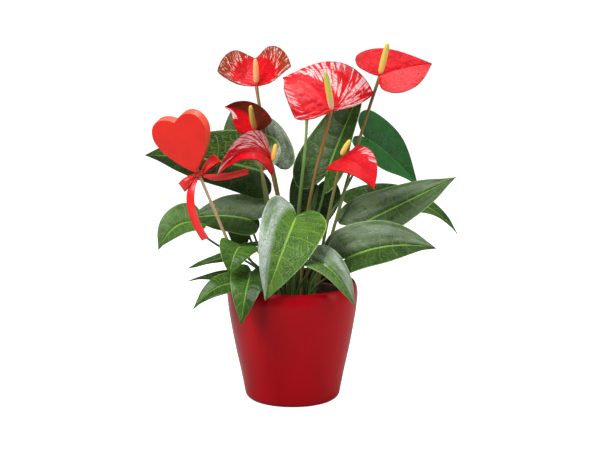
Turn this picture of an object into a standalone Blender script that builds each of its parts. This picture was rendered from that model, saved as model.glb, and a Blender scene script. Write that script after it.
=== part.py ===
"""Potted anthurium: a glazed cover pot holding a plastic grow pot, soil, leaves, flowers and a heart pick.

Metres, +Z up.  The origin is the middle of the flat underside of the cover pot.
Plant positions are written in millimetres: x and y from the pot axis, z above the soil.
"""

import math
from dataclasses import dataclass

import bmesh
import bpy
import numpy as np
from mathutils import Matrix, Vector

MM = 0.001
PIECE_GAP = 0.3 * MM

# Glazed cover pot
POT_HEIGHT = 125 * MM
POT_RADIUS = 69 * MM
POT_FOOT_RADIUS = 45 * MM
POT_WALL = 4 * MM
POT_STEPS = 40

# Plastic grow pot standing inside the cover pot
GROW_RIM_DROP = 12.7 * MM
GROW_SIDE_ROOM = 7 * MM
GROW_TAPER = 20 * MM
GROW_WALL = 1.4 * MM
GROW_HOLE_RADIUS = 4 * MM
GROW_HOLE_RING = 24 * MM
GROW_HOLES = 6
GROW_STEPS = 32

# Soil filling the grow pot
SOIL_BELOW_GROW_RIM = 5 * MM
SOIL_EDGE_DROP = 3 * MM
SOIL_FLAT_SHARE = 0.62
SOCKET_DEPTH = 10 * MM
SOCKET_FIT = 0.3 * MM

# Plant
SPREAD = POT_RADIUS / 69
RISE = 1.0 * MM
LEAF_THICKNESS = 0.9 * MM
SPATHE_THICKNESS = 1.1 * MM
PETIOLE_RADIUS = 1.4 * MM
STEM_RADIUS = 1.6 * MM
BUD_STALK_RADIUS = 1.8 * MM
LEAF_CELLS = 6
SPATHE_CELLS = 8

# Heart pick
STICK_RADIUS = 1.6 * MM
# The stick's front side, and the height where its axis passes the root of leaf_front_left,
# with its distance from that root
STICK_FOOT = (-40, -25.6, 0)
STICK_TOP = (-99.8, -41.6, 150)
STICK_PASS = (-12.8, 12.2, 64)
STICK_INTO_HEART = 7.6 * MM
HEART_WIDTH = 60 * MM
HEART_THICKNESS = 13 * MM
HEART_ROUNDING = 2.6 * MM
HEART_LEAN = 17
HEART_TURN = 22
HEART_PITCH = 14
KNOT_RADIUS = 4.2 * MM
KNOT_HEIGHT = 5.6 * MM
KNOT_BELOW_TOP = 12.3 * MM
# Each ribbon piece: middle line in millimetres from the knot, and the way its width lies
RIBBON_PATHS = (
    ("ribbon_loop_left", ((-4.6, -4.4, -1.5), (-13, -15, -4), (-26, -9, -20), (-16, 6, -18), (-4.6, 4.4, -3)),
     ((0.58, 0, -0.81), (0.58, 0, -0.81))),
    ("ribbon_loop_right", ((4.6, -4.2, 2.5), (8, -13, 13), (27, -9, 26), (22, 6, 15), (5.2, 4.2, 1.8)),
     ((0.68, 0, -0.73), (0.68, 0, -0.73))),
    ("ribbon_tail_right", ((5.6, -1.6, -1.4), (18, -12, -4), (34, -15, 0), (51, -10, 4.5)),
     ((0, -0.6, 0.8), (0, -0.8, 0.9))),
    ("ribbon_tail_left", ((-1.2, -5.6, -4.2), (-14, -11, -18), (-8, -17, -42), (7, -17, -65)),
     ((1, -0.5, 0.2), (1, -0.7, 0.5))),
)
RIBBON_WIDTH = 10 * MM
RIBBON_GATHERED = 0.45
RIBBON_THICKNESS = 0.5 * MM

POT_FLOOR = POT_WALL
GROW_BASE = POT_FLOOR + PIECE_GAP
GROW_HEIGHT = POT_HEIGHT - GROW_RIM_DROP - GROW_BASE
GROW_TOP_RADIUS = POT_RADIUS - POT_WALL - GROW_SIDE_ROOM
GROW_FOOT_RADIUS = GROW_TOP_RADIUS - GROW_TAPER
SOIL_LEVEL = GROW_BASE + GROW_HEIGHT - SOIL_BELOW_GROW_RIM

LEAF_OUTLINE = (
    (0.00, -0.20, 0.35),
    (0.12, -0.21, 0.66),
    (0.25, -0.10, 0.93),
    (0.38, 0.08, 1.00),
    (0.52, 0.30, 0.92),
    (0.66, 0.52, 0.74),
    (0.80, 0.74, 0.45),
    (0.92, 0.90, 0.17),
    (1.00, 1.00, 0.00),
)
SPATHE_OUTLINE = (
    (0.00, -0.20, 0.26),
    (0.12, -0.28, 0.58),
    (0.25, -0.17, 0.90),
    (0.38, 0.05, 1.00),
    (0.52, 0.31, 0.92),
    (0.66, 0.56, 0.69),
    (0.80, 0.78, 0.38),
    (0.92, 0.93, 0.12),
    (1.00, 1.00, 0.00),
)


@dataclass
class Blade:
    """One leaf blade or spathe: a heart drawn about a curved midrib.

    root, bend, tip: midrib as a three-point curve; face: the way the upper side looks;
    width: half the breadth; fold, curl: lift and bend of the halves in degrees at root and tip;
    roll: extra bend near the margins, in degrees;
    twist: turn of the blade from root to tip; lobe: reach of the rear lobes behind the root;
    foot: where its stalk leaves the soil;
    knee: last handle of the stalk, measured from the root of the blade;
    rise, lean: height share and sideways reach of the stalk's first handle.
    """

    name: str
    foot: tuple
    root: tuple
    bend: tuple
    tip: tuple
    face: tuple
    width: float
    fold: tuple = (12, 12)
    curl: tuple = (-10, -10)
    twist: float = 0
    lobe: float = 1.0
    knee: tuple = None
    rise: float = 0.45
    lean: tuple = (0, 0)
    roll: float = 0


LEAVES = (
    Blade("leaf_front", (-4.5, -23), (4, -42, 94.5), (-10, -84, 68.5), (-27.6, -73, 13.2),
          (0.23, -0.8, 0.55), 33.3, (-1.5, 17), (16, -34), lobe=0.87, roll=1.4),
    Blade("leaf_front_right", (4.5, -23), (21, -51, 51), (46, -75, 50), (64, -65, 6),
          (0.5, -0.7, 0.6), 21, (25, 20)),
    Blade("leaf_front_low", (-13.5, -23), (-42, -48, 38), (-47, -76, 30), (-52, -78, -11),
          (-0.2, -0.8, 0.5), 20),
    Blade("leaf_front_left", (-9, -16), (-53, -43, 64), (-59, -64, 66), (-64, -67, 39),
          (0, -0.75, 0.65), 21),
    Blade("leaf_left_low", (-18, -16), (-56, -44, 25), (-80, -50, 29), (-102, -54, 0),
          (0, -0.6, 0.8), 15, lobe=0.6),
    Blade("leaf_left_thin", (-27, 0), (-55, 0, 22), (-85, 10, 22), (-111, 15, 14), (0, -0.2, 1), 14),
    Blade("leaf_left_dark", (-18, 16), (-50, 20, 45), (-84, 40, 32), (-114, 50, 20), (0, -0.3, 1), 18),
    Blade("leaf_left_small", (-18, 0), (-103, -25, 86), (-125, -34, 88), (-138, -38, 59),
          (-0.25, -0.75, 0.7), 23, (25, 20)),
    Blade("leaf_left_mid", (-22.5, 8), (-44, 16, 80), (-77, 32, 86), (-115, 42, 76),
          (0, -0.7, 0.8), 29, (22, 15)),
    Blade("leaf_left_high", (-13.5, 8), (-32, 0, 135), (-92, 10, 151), (-156, 25, 148),
          (0, -1, -0.1), 38, (-18, -10), lobe=0.5),
    Blade("leaf_back_left_high", (-9, 16), (-46, 60, 149), (-55, 68, 175), (-64, 76, 195), (0, -1, 0.2), 28),
    Blade("leaf_back_mid", (0, 16), (-22, 28, 143), (-25, 44, 169), (-43, 52, 194), (0.3, -1, 0.2), 25),
    Blade("leaf_back_high", (9, 16), (36, 35, 126), (54, 50, 172), (76, 50, 222),
          (-0.7, -0.6, 0.5), 41, (25, 20)),
    Blade("leaf_back_low", (4.5, 23), (27, 64, 108), (19, 84, 73), (6, 90, 37), (0, -0.8, 0.5), 29),
    Blade("leaf_right_high", (13.5, 8), (78, 45, 164), (110, 56, 142), (135, 56, 110),
          (0.45, -0.7, 0.7), 33, (20, 15)),
    Blade("leaf_right_back", (18, 16), (70, 40, 91), (145, 66, 107), (180, 72, 54),
          (0.1, -0.5, 0.9), 26, lobe=0.5),
    Blade("leaf_right", (18, 0), (72, 0, 79), (117, -8, 103), (172, 10, 127), (-0.3, -0.75, 0.7), 31, (8, 8)),
    Blade("leaf_right_low", (18, -16), (56, -25, 47), (100, -42, 72), (148, -45, 62),
          (-0.1, -0.7, 0.8), 35, (25, 20)),
    Blade("leaf_back_left_low", (-13.5, 23), (-48, 54, 57), (-57, 62, 62), (-76, 68, 69), (0, -1, 0.3), 20),
)

SPATHES = (
    Blade("spathe_top_left", (-4.5, 8), (-38, 34, 221), (-37.4, 60.3, 236.3), (-40.7, 90.1, 243.9),
          (-0.11, -0.26, 0.96), 44.6, (8, 43), (67, 96), lobe=0.3, knee=(7, -20, -55), roll=-12),
    Blade("spathe_half_open", (-13.5, -8), (-39, 4, 177), (-50.9, 26.2, 196.5), (-70.8, 21.6, 199.6),
          (0.22, -0.8, 0.55), 21.3, (10, 33), (41, -2), lobe=0.28, knee=(4, -14, -40), roll=-4),
    Blade("spathe_hooded", (-4.5, -8), (-21, -28, 149), (-42.5, -44.3, 180.6), (-75.7, -61, 140.9),
          (-0.05, -0.89, 0.46), 23.9, (11, 46), (-32, 52), lobe=0.02, knee=(4, 18, -40), rise=0.6, roll=2),
    Blade("spathe_main", (9, 0), (40, -20, 201), (17.5, 1.3, 237.2), (-9.9, 16.7, 230.7),
          (0.24, -0.65, 0.72), 50.9, (3, -5), (2, 62), lobe=0.19, knee=(-8, 8, -45), rise=0.5, roll=9),
    Blade("spathe_top_right", (22.5, 8), (91, 8, 234), (119, 30, 242), (148, 52, 242),
          (-0.2, -0.75, 0.65), 35, (10, 10), (-5, -5), lobe=0.7, knee=(-26, 0, -76), lean=(22, 0), rise=0.3),
    Blade("spathe_reflexed", (22.5, -8), (50, -20, 152), (72.2, -40.3, 153.3), (82.7, -63.4, 127.2),
          (0.34, -0.89, 0.29), 25.2, (7, 9), (-23, 8), lobe=0.03, knee=(-8, 8, -40), lean=(10, 0), roll=6),
)


def place(point, soil_level=SOIL_LEVEL):
    """Turn a plant position in millimetres into metres in the pot's frame."""
    x, y, z = point
    return np.array((x * SPREAD, y * SPREAD, soil_level + z * RISE))


def stick_point(point):
    """Turn a point on the stick's front side into one on its axis, clear of the leaf that it passes."""
    aside_x, aside_y, height = STICK_PASS
    kept = np.array((aside_x, aside_y, 0)) * (MM - SPREAD) * point[2] / height
    return place(point) + kept + np.array((0, STICK_RADIUS, 0))


def unit(vector):
    vector = np.asarray(vector, dtype=float)
    return vector / np.linalg.norm(vector)


class Midrib:
    """The curved frame that a blade's flat outline is carried along."""

    def __init__(self, blade):
        self.blade = blade
        self.root = place(blade.root)
        self.bend = place(blade.bend)
        self.tip = place(blade.tip)
        self.length = float(np.linalg.norm(self.tip - self.root))
        self.half_width = blade.width * SPREAD
        self.side = unit(np.cross(unit(blade.face), unit(self.tip - self.root)))

    def frame(self, along):
        """Return centre, tangent, side and normal at a fraction of the midrib's length."""
        t = max(along, 0.0)
        centre = (1 - t) ** 2 * self.root + 2 * t * (1 - t) * self.bend + t ** 2 * self.tip
        tangent = unit((1 - t) * (self.bend - self.root) + t * (self.tip - self.bend))
        if along < 0:
            centre = centre + tangent * (along * self.length)
        side = unit(self.side - np.dot(self.side, tangent) * tangent)
        normal = np.cross(tangent, side)
        turn = math.radians(self.blade.twist) * t
        turned_side = side * math.cos(turn) + normal * math.sin(turn)
        turned_normal = normal * math.cos(turn) - side * math.sin(turn)
        return centre, tangent, turned_side, turned_normal

    def point(self, along, across):
        """Return the point of the blade at a length fraction and a signed half-width fraction."""
        centre, tangent, side, normal = self.frame(along)
        t = min(max(along, 0.0), 1.0)
        fold = self.blade.fold[0] * (1 - t) + self.blade.fold[1] * t
        curl = self.blade.curl[0] * (1 - t) + self.blade.curl[1] * t
        angle = math.radians(fold + curl * abs(across) / 2 + self.blade.roll * abs(across) ** 3)
        reach = across * self.half_width
        return centre + side * (reach * math.cos(angle)) + normal * (abs(reach) * math.sin(angle))


def outline_at(outline, v):
    """Smooth outline point (length fraction, half-width fraction) at row parameter v."""
    keys = [key[0] for key in outline]
    index = 0
    while index < len(keys) - 2 and v > keys[index + 1]:
        index += 1
    v0 = keys[index]
    v1 = keys[index + 1]
    t = (v - v0) / (v1 - v0)
    before = np.array(outline[max(index - 1, 0)])
    start = np.array(outline[index])
    end = np.array(outline[index + 1])
    after = np.array(outline[min(index + 2, len(outline) - 1)])
    slope_start = (end - before) / (end[0] - before[0]) * (v1 - v0)
    slope_end = (after - start) / (after[0] - start[0]) * (v1 - v0)
    blend = ((2 * t ** 3 - 3 * t ** 2 + 1) * start + (t ** 3 - 2 * t ** 2 + t) * slope_start
             + (3 * t ** 2 - 2 * t ** 3) * end + (t ** 3 - t ** 2) * slope_end)
    return float(blend[1]), float(blend[2])


def flat_point(outline, u, v, lobe=1.0):
    """Flat blade coordinates for vein row v and position u from -1 to 1 along it."""
    along_edge, across_edge = outline_at(outline, v)
    if along_edge < 0:
        along_edge = along_edge * lobe
    start = v ** 1.6
    reach = abs(u)
    if v <= 0:
        along = 2 * reach * (1 - reach) * -0.12 * lobe + reach ** 2 * along_edge
        across = 2 * reach * (1 - reach) * 0.08 + reach ** 2 * across_edge
    else:
        along = start + (along_edge - start) * reach
        across = across_edge * reach
    return along, math.copysign(across, u)


def stalk_path(blade):
    """Cubic control points of the stalk from the soil to the blade's root."""
    foot_x, foot_y = blade.foot
    top = np.array(blade.root, dtype=float)
    foot = np.array((foot_x, foot_y, 0.0))
    knee = blade.knee
    if knee is None:
        knee = ((foot_x - top[0]) * 0.2, (foot_y - top[1]) * 0.2, -0.4 * max(top[2], 20))
    lower = foot + np.array((blade.lean[0], blade.lean[1], blade.rise * top[2]))
    return foot, lower, top + np.array(knee), top


# ---- building

POT_PROFILE = (
    (0.000, 0.000),
    (0.652, 0.000),
    (0.700, 0.012),
    (0.732, 0.042),
    (0.797, 0.230),
    (0.884, 0.456),
    (0.965, 0.712),
    (0.998, 0.864),
    (1.000, 0.912),
    (0.987, 0.956),
    (0.965, 0.986),
    (0.942, 1.000),
)
# Middle line of each spadix from the root of its spathe, and its radius in millimetres
SPADICES = {
    "spathe_top_left": ((-38, 33, 222), (-38, 34, 232), (-39, 35, 248), 3.3),
    "spathe_half_open": ((-39, 2, 178), (-42, -3, 190), (-43, -6, 204), 3.0),
    "spathe_hooded": ((-21, -30, 150), (-20, -30, 157), (-18, -26, 167), 2.6),
    "spathe_main": ((40, -22, 202), (37, -34, 221), (33, -40, 243), 3.4),
    "spathe_top_right": ((91, 7, 235), (94, 2, 251), (98, -4, 268), 3.3),
    "spathe_reflexed": ((51, -21, 154), (54, -23, 161), (60, -22, 170), 2.8),
}
# Stalk and rolled young leaf: middle line above the soil and the radius there
BUD_FOOT = (0, 0, 0)
BUD_PATH = ((0, 0, 0, 1.8), (7, 2, 96, 1.8), (13, 7, 153, 1.7), (15, 13, 184, 1.6), (15, 20, 202, 4.5),
            (12, 30, 226, 0.5))


def collection_named(name):
    """Make a collection in the scene."""
    made = bpy.data.collections.new(name)
    bpy.context.scene.collection.children.link(made)
    return made


def material(name, colour, roughness, metallic=0.0):
    """Make a plain Principled material."""
    made = bpy.data.materials.new(name)
    made.use_nodes = True
    shader = made.node_tree.nodes["Principled BSDF"]
    shader.inputs["Base Color"].default_value = (*colour, 1.0)
    shader.inputs["Roughness"].default_value = roughness
    shader.inputs["Metallic"].default_value = metallic
    return made


def mesh_object(name, mesh, group, look):
    """Link a mesh as a named object with one material."""
    made = bpy.data.objects.new(name, mesh)
    group.objects.link(made)
    mesh.materials.clear()
    mesh.materials.append(look)
    return made


def frozen(made):
    """Replace an object's mesh by the result of its modifiers."""
    bpy.context.view_layer.update()
    evaluated = made.evaluated_get(bpy.context.evaluated_depsgraph_get())
    mesh = bpy.data.meshes.new_from_object(evaluated)
    made.modifiers.clear()
    made.data = mesh
    return made


def welded(mesh, distance=0.02 * MM):
    """Merge doubled vertices and point the faces outwards."""
    shape = bmesh.new()
    shape.from_mesh(mesh)
    bmesh.ops.remove_doubles(shape, verts=shape.verts, dist=distance)
    bmesh.ops.dissolve_degenerate(shape, edges=shape.edges, dist=0.005 * MM)
    bmesh.ops.recalc_face_normals(shape, faces=shape.faces)
    shape.to_mesh(mesh)
    shape.free()


def boolean(made, cutter, operation):
    """Apply an exact Boolean with another object and weld the result."""
    step = made.modifiers.new("cut", "BOOLEAN")
    step.operation = operation
    step.solver = "EXACT"
    step.object = cutter
    frozen(made)
    welded(made.data)


def turned(name, profile, steps, group, look):
    """Spin a profile of (radius, height) about the vertical axis."""
    mesh = bpy.data.meshes.new(name)
    verts = [(radius, 0.0, height) for radius, height in profile]
    edges = [(index, index + 1) for index in range(len(verts) - 1)]
    mesh.from_pydata(verts, edges, [])
    made = mesh_object(name, mesh, group, look)
    screw = made.modifiers.new("turn", "SCREW")
    screw.axis = "Z"
    screw.angle = math.tau
    screw.steps = steps
    screw.render_steps = steps
    screw.use_merge_vertices = True
    screw.merge_threshold = 0.01 * MM
    frozen(made)
    welded(made.data)
    return made


def tube(name, points, radius, group, look, ends=(1.0, 1.0), steps=5, sides=1, radii=None):
    """A round stalk along cubic handles; points are (co, left handle, right handle) in metres."""
    curve = bpy.data.curves.new(name, "CURVE")
    curve.dimensions = "3D"
    curve.bevel_depth = radius
    curve.bevel_resolution = sides
    curve.resolution_u = steps
    curve.render_resolution_u = steps
    curve.use_fill_caps = True
    spline = curve.splines.new("BEZIER")
    spline.bezier_points.add(len(points) - 1)
    for index, (centre, left, right) in enumerate(points):
        knot = spline.bezier_points[index]
        knot.handle_left_type = "FREE"
        knot.handle_right_type = "FREE"
        knot.co = Vector(centre)
        knot.handle_left = Vector(left)
        knot.handle_right = Vector(right)
        share = index / (len(points) - 1)
        knot.radius = ends[0] * (1 - share) + ends[1] * share
        if radii:
            knot.radius = radii[index]
    holder = bpy.data.objects.new(name + "_curve", curve)
    group.objects.link(holder)
    bpy.context.view_layer.update()
    mesh = bpy.data.meshes.new_from_object(holder.evaluated_get(bpy.context.evaluated_depsgraph_get()))
    bpy.data.objects.remove(holder)
    mesh.name = name
    welded(mesh)
    return mesh_object(name, mesh, group, look)


def stalk_points(blade, behind=0.0, radius=0.0):
    """Bezier knots of a stalk: straight down into its socket, then up to the back of the blade."""
    path = [place(point) for point in stalk_path(blade)]
    foot, lower, upper, top = path
    buried = foot - np.array((0, 0, SOCKET_DEPTH - SOCKET_FIT))
    middle = (foot + buried) / 2
    normal = Midrib(blade).frame(0.0)[3]
    slant = math.sqrt(max(0.0, 1 - float(np.dot(unit(top - upper), normal)) ** 2))
    shift = normal * (behind + radius * slant)
    knots = [(buried, buried, middle), (foot, middle, lower), (top - shift, upper - shift, top - shift)]
    return knots


def sheet(name, blade, outline, cells, thickness, group, look):
    """Heart-shaped plate about a blade's midrib."""
    rows = len(outline) - 1
    mesh = bpy.data.meshes.new(name)
    shape = bmesh.new()
    bmesh.ops.create_grid(shape, x_segments=cells, y_segments=rows, size=1.0)
    midrib = Midrib(blade)
    keys = [key[0] for key in outline]
    for vert in shape.verts:
        row = round((vert.co.y + 1) / 2 * rows)
        column = round((vert.co.x + 1) / 2 * cells) / cells * 2 - 1
        along, across = flat_point(outline, column, keys[row], blade.lobe)
        vert.co = Vector(midrib.point(along, across))
    bmesh.ops.remove_doubles(shape, verts=shape.verts, dist=0.02 * MM)
    shape.to_mesh(mesh)
    shape.free()
    made = mesh_object(name, mesh, group, look)
    solid = made.modifiers.new("thickness", "SOLIDIFY")
    solid.thickness = thickness
    solid.offset = 0.0
    frozen(made)
    welded(made.data)
    return made


def leaf(blade, group, cutters, look):
    """One leaf: blade and stalk grown as a single piece."""
    made = sheet(blade.name, blade, LEAF_OUTLINE, LEAF_CELLS, LEAF_THICKNESS, group, look)
    stalk = tube(blade.name + "_stalk", stalk_points(blade), PETIOLE_RADIUS, cutters, look, (1.25, 1.0))
    boolean(made, stalk, "UNION")
    bpy.data.objects.remove(stalk)
    return made


def young_leaf(group, look):
    """A rolled young leaf on its own stalk, as one tube of changing radius."""
    centres = [place(point[:3]) for point in BUD_PATH]
    radii = [point[3] * MM for point in BUD_PATH]
    buried = centres[0] - np.array((0, 0, SOCKET_DEPTH - SOCKET_FIT))
    centres.insert(0, buried)
    radii.insert(0, radii[0])
    knots = []
    for index, centre in enumerate(centres):
        before = centres[max(index - 1, 0)]
        after = centres[min(index + 1, len(centres) - 1)]
        slope = (after - before) / 6
        if index < 2:
            slope = np.array((0, 0, 3 * MM))
        knots.append((centre, centre - slope, centre + slope))
    return tube("leaf_young", knots, 1.0, group, look, radii=radii, steps=4)


def flower(blade, group, looks):
    """One flower: stem, spathe and spadix, each a fit apart."""
    spathe = sheet(blade.name, blade, SPATHE_OUTLINE, SPATHE_CELLS, SPATHE_THICKNESS, group, looks["spathe"])
    kind = blade.name.split("_", 1)[1]
    behind = SPATHE_THICKNESS / 2 + PIECE_GAP
    knots = stalk_points(blade, behind, STEM_RADIUS)
    tube("stem_" + kind, knots, STEM_RADIUS, group, looks["stem"], (1.0, 0.85), 6)
    base, belly, end, radius = SPADICES[blade.name]
    spadix(kind, blade, [place(base), place(belly), place(end)], radius * MM, group, looks["spadix"])
    return spathe


def spadix(kind, blade, path, radius, group, look):
    """Tapered spike standing on the face of a spathe, a fit above it."""
    midrib = Midrib(blade)
    normal = midrib.frame(0.0)[3]
    lift = normal * (SPATHE_THICKNESS / 2 + PIECE_GAP + 1.0 * MM)
    base, belly, end = [point + lift for point in path]
    shape = bmesh.new()
    rings = 7
    sides = 8
    shares = (0.55, 0.92, 1.0, 0.97, 0.88, 0.66, 0.25)
    loops = []
    for ring in range(rings):
        t = ring / (rings - 1)
        centre = (1 - t) ** 2 * base + 2 * t * (1 - t) * belly + t ** 2 * end
        tangent = unit((1 - t) * (belly - base) + t * (end - belly))
        across = unit(np.cross(tangent, (0.3, 1.0, 0.1)))
        other = np.cross(tangent, across)
        loop = []
        for side in range(sides):
            turn = math.tau * side / sides
            offset = (across * math.cos(turn) + other * math.sin(turn)) * radius * shares[ring]
            loop.append(shape.verts.new(Vector(centre + offset)))
        loops.append(loop)
    for lower, upper in zip(loops, loops[1:]):
        for side in range(sides):
            after = (side + 1) % sides
            shape.faces.new((lower[side], lower[after], upper[after], upper[side]))
    shape.faces.new(loops[0][::-1])
    shape.faces.new(loops[-1])
    mesh = bpy.data.meshes.new("spadix_" + kind)
    bmesh.ops.recalc_face_normals(shape, faces=shape.faces)
    shape.to_mesh(mesh)
    shape.free()
    return mesh_object("spadix_" + kind, mesh, group, look)


def pot_profile():
    """Closed profile of the cover pot, from the inner floor out over the crest and down to the foot."""
    outside = [(radius * POT_RADIUS, height * POT_HEIGHT) for radius, height in POT_PROFILE]
    inside = [(0.0, POT_FLOOR)]
    inside.append((POT_FOOT_RADIUS - 3 * MM, POT_FLOOR))
    for radius, height in outside[3:8]:
        inside.append((radius - POT_WALL, height + 0.5 * MM))
    inside.append((0.925 * POT_RADIUS, 0.955 * POT_HEIGHT))
    inside.append((0.925 * POT_RADIUS, 0.985 * POT_HEIGHT))
    return inside + outside[::-1]


def grow_profile():
    """Closed profile of the plastic grow pot with its rolled rim."""
    base = GROW_BASE
    top = GROW_BASE + GROW_HEIGHT
    rim = 2.2 * MM
    rim_drop = 6 * MM
    profile = [(0.0, base + GROW_WALL), (GROW_FOOT_RADIUS - GROW_WALL, base + GROW_WALL)]
    profile.append((GROW_TOP_RADIUS - GROW_WALL - rim, top - rim_drop))
    profile.append((GROW_TOP_RADIUS - GROW_WALL - rim, top))
    profile.append((GROW_TOP_RADIUS, top))
    profile.append((GROW_TOP_RADIUS, top - rim_drop))
    profile.append((GROW_TOP_RADIUS - rim, top - rim_drop))
    profile.append((GROW_FOOT_RADIUS, base))
    profile.append((0.0, base))
    return profile


def soil_profile():
    """Closed profile of the soil, a fit inside the grow pot."""
    rim = 2.2 * MM
    rim_drop = 6 * MM
    inner_top = GROW_TOP_RADIUS - GROW_WALL - rim
    inner_foot = GROW_FOOT_RADIUS - GROW_WALL
    base = GROW_BASE + GROW_WALL + PIECE_GAP
    neck = GROW_BASE + GROW_HEIGHT - rim_drop
    edge = min(SOIL_LEVEL - SOIL_EDGE_DROP, neck)
    share = (edge - base) / (neck - base)
    side = inner_foot + (inner_top - inner_foot) * share - 2 * PIECE_GAP
    profile = [(0.0, SOIL_LEVEL), (inner_top * SOIL_FLAT_SHARE, SOIL_LEVEL), (side, edge)]
    profile.append((inner_foot - 2 * PIECE_GAP, base))
    profile.append((0.0, base))
    return profile


def cylinder(name, start, end, radius, sides, group, look):
    """Closed straight rod between two points."""
    start = Vector(start)
    end = Vector(end)
    shape = bmesh.new()
    length = (end - start).length
    turn = Vector((0, 0, 1)).rotation_difference((end - start).normalized()).to_matrix().to_4x4()
    where = Matrix.Translation((start + end) / 2) @ turn
    bmesh.ops.create_cone(shape, cap_ends=True, segments=sides, radius1=radius, radius2=radius,
                          depth=length, matrix=where)
    mesh = bpy.data.meshes.new(name)
    shape.to_mesh(mesh)
    shape.free()
    return mesh_object(name, mesh, group, look)


def merged(name, parts, group, look):
    """Join several closed meshes into one cutter."""
    shape = bmesh.new()
    for part in parts:
        shape.from_mesh(part.data)
    mesh = bpy.data.meshes.new(name)
    shape.to_mesh(mesh)
    shape.free()
    for part in parts:
        bpy.data.objects.remove(part)
    return mesh_object(name, mesh, group, look)


def heart(group, cutters, look):
    """Thick heart plaque leaning on top of the stick, drilled for it."""
    curve = bpy.data.curves.new("heart", "CURVE")
    curve.dimensions = "2D"
    curve.fill_mode = "BOTH"
    curve.resolution_u = 5
    curve.render_resolution_u = 5
    curve.extrude = HEART_THICKNESS / 2 - HEART_ROUNDING
    curve.bevel_depth = HEART_ROUNDING
    curve.bevel_resolution = 1
    spline = curve.splines.new("BEZIER")
    spline.use_cyclic_u = True
    half = HEART_WIDTH / 2 - HEART_ROUNDING
    knots = (
        ((0.0, 0.88), (0.13, 1.00), (-0.13, 1.00)),
        ((-0.58, 1.08), (-0.38, 1.12), (-0.84, 1.04)),
        ((-1.00, 0.44), (-1.02, 0.76), (-0.98, 0.00)),
        ((0.0, -0.98), (-0.36, -0.74), (0.36, -0.74)),
        ((1.00, 0.44), (0.98, 0.00), (1.02, 0.76)),
        ((0.58, 1.08), (0.84, 1.04), (0.38, 1.12)),
    )
    spline.bezier_points.add(len(knots) - 1)
    for index, (centre, left, right) in enumerate(knots):
        knot = spline.bezier_points[index]
        knot.handle_left_type = "FREE"
        knot.handle_right_type = "FREE"
        knot.co = Vector((centre[0] * half, centre[1] * half, 0))
        knot.handle_left = Vector((left[0] * half, left[1] * half, 0))
        knot.handle_right = Vector((right[0] * half, right[1] * half, 0))
    holder = bpy.data.objects.new("heart_curve", curve)
    group.objects.link(holder)
    bpy.context.view_layer.update()
    mesh = bpy.data.meshes.new_from_object(holder.evaluated_get(bpy.context.evaluated_depsgraph_get()))
    bpy.data.objects.remove(holder)
    mesh.name = "heart"
    welded(mesh)
    top = Vector(stick_point(STICK_TOP))
    low = 0.98 * half
    upright = Matrix.Rotation(math.radians(90), 4, "X")
    lean = Matrix.Rotation(math.radians(-HEART_LEAN), 4, "Y")
    turn = Matrix.Rotation(math.radians(-HEART_TURN), 4, "Z")
    pitch = Matrix.Rotation(math.radians(HEART_PITCH), 4, "X")
    lift = Matrix.Translation(Vector((0, 0, low - STICK_INTO_HEART + 2 * MM)))
    mesh.transform(Matrix.Translation(top) @ turn @ lean @ pitch @ lift @ upright)
    made = mesh_object("heart", mesh, group, look)
    return made


def strip(name, centre, across, width, thickness, samples, group, look):
    """Ribbon strip: centre, across and width give a point, a direction and a size for t from 0 to 1."""
    shape = bmesh.new()
    rows = []
    for index in range(samples + 1):
        t = index / samples
        middle = Vector(centre(t))
        side = Vector(across(t)).normalized() * (width(t) / 2)
        rows.append((shape.verts.new(middle - side), shape.verts.new(middle + side)))
    for before, after in zip(rows, rows[1:]):
        shape.faces.new((before[0], before[1], after[1], after[0]))
    mesh = bpy.data.meshes.new(name)
    shape.to_mesh(mesh)
    shape.free()
    made = mesh_object(name, mesh, group, look)
    solid = made.modifiers.new("thickness", "SOLIDIFY")
    solid.thickness = thickness
    solid.offset = 0.0
    frozen(made)
    welded(made.data)
    return made


def bezier(points):
    """Return a function giving a point on a quadratic or cubic curve."""
    knots = [np.array(point, dtype=float) for point in points]

    def at(t):
        level = knots
        while len(level) > 1:
            level = [a * (1 - t) + b * t for a, b in zip(level, level[1:])]
        return level[0]

    return at


def ribbon(group, cutters, look):
    """Bow tied round the stick below the heart: knot, two loops and two tails."""
    foot = stick_point(STICK_FOOT)
    top = stick_point(STICK_TOP)
    axis = unit(top - foot)
    middle = top - axis * KNOT_BELOW_TOP
    knot = cylinder("ribbon_knot", middle - axis * KNOT_HEIGHT / 2, middle + axis * KNOT_HEIGHT / 2,
                    KNOT_RADIUS, 16, group, look)
    bore = cylinder("knot_bore", middle - axis * KNOT_HEIGHT, middle + axis * KNOT_HEIGHT,
                    STICK_RADIUS + PIECE_GAP, 16, cutters, look)
    boolean(knot, bore, "DIFFERENCE")
    bpy.data.objects.remove(bore)

    def spot(offset):
        return middle + np.array(offset) * MM

    def loop_width(t):
        return RIBBON_WIDTH * (RIBBON_GATHERED + (1 - RIBBON_GATHERED) * math.sin(math.pi * t))

    def tail_width(t):
        return RIBBON_WIDTH * (RIBBON_GATHERED + (1 - RIBBON_GATHERED) * min(1.0, 4 * t))

    for name, points, across in RIBBON_PATHS:
        centre = bezier([spot(point) for point in points])
        side = bezier(across)
        width = loop_width if "loop" in name else tail_width
        strip(name, centre, side, width, RIBBON_THICKNESS, 14, group, look)


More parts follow.
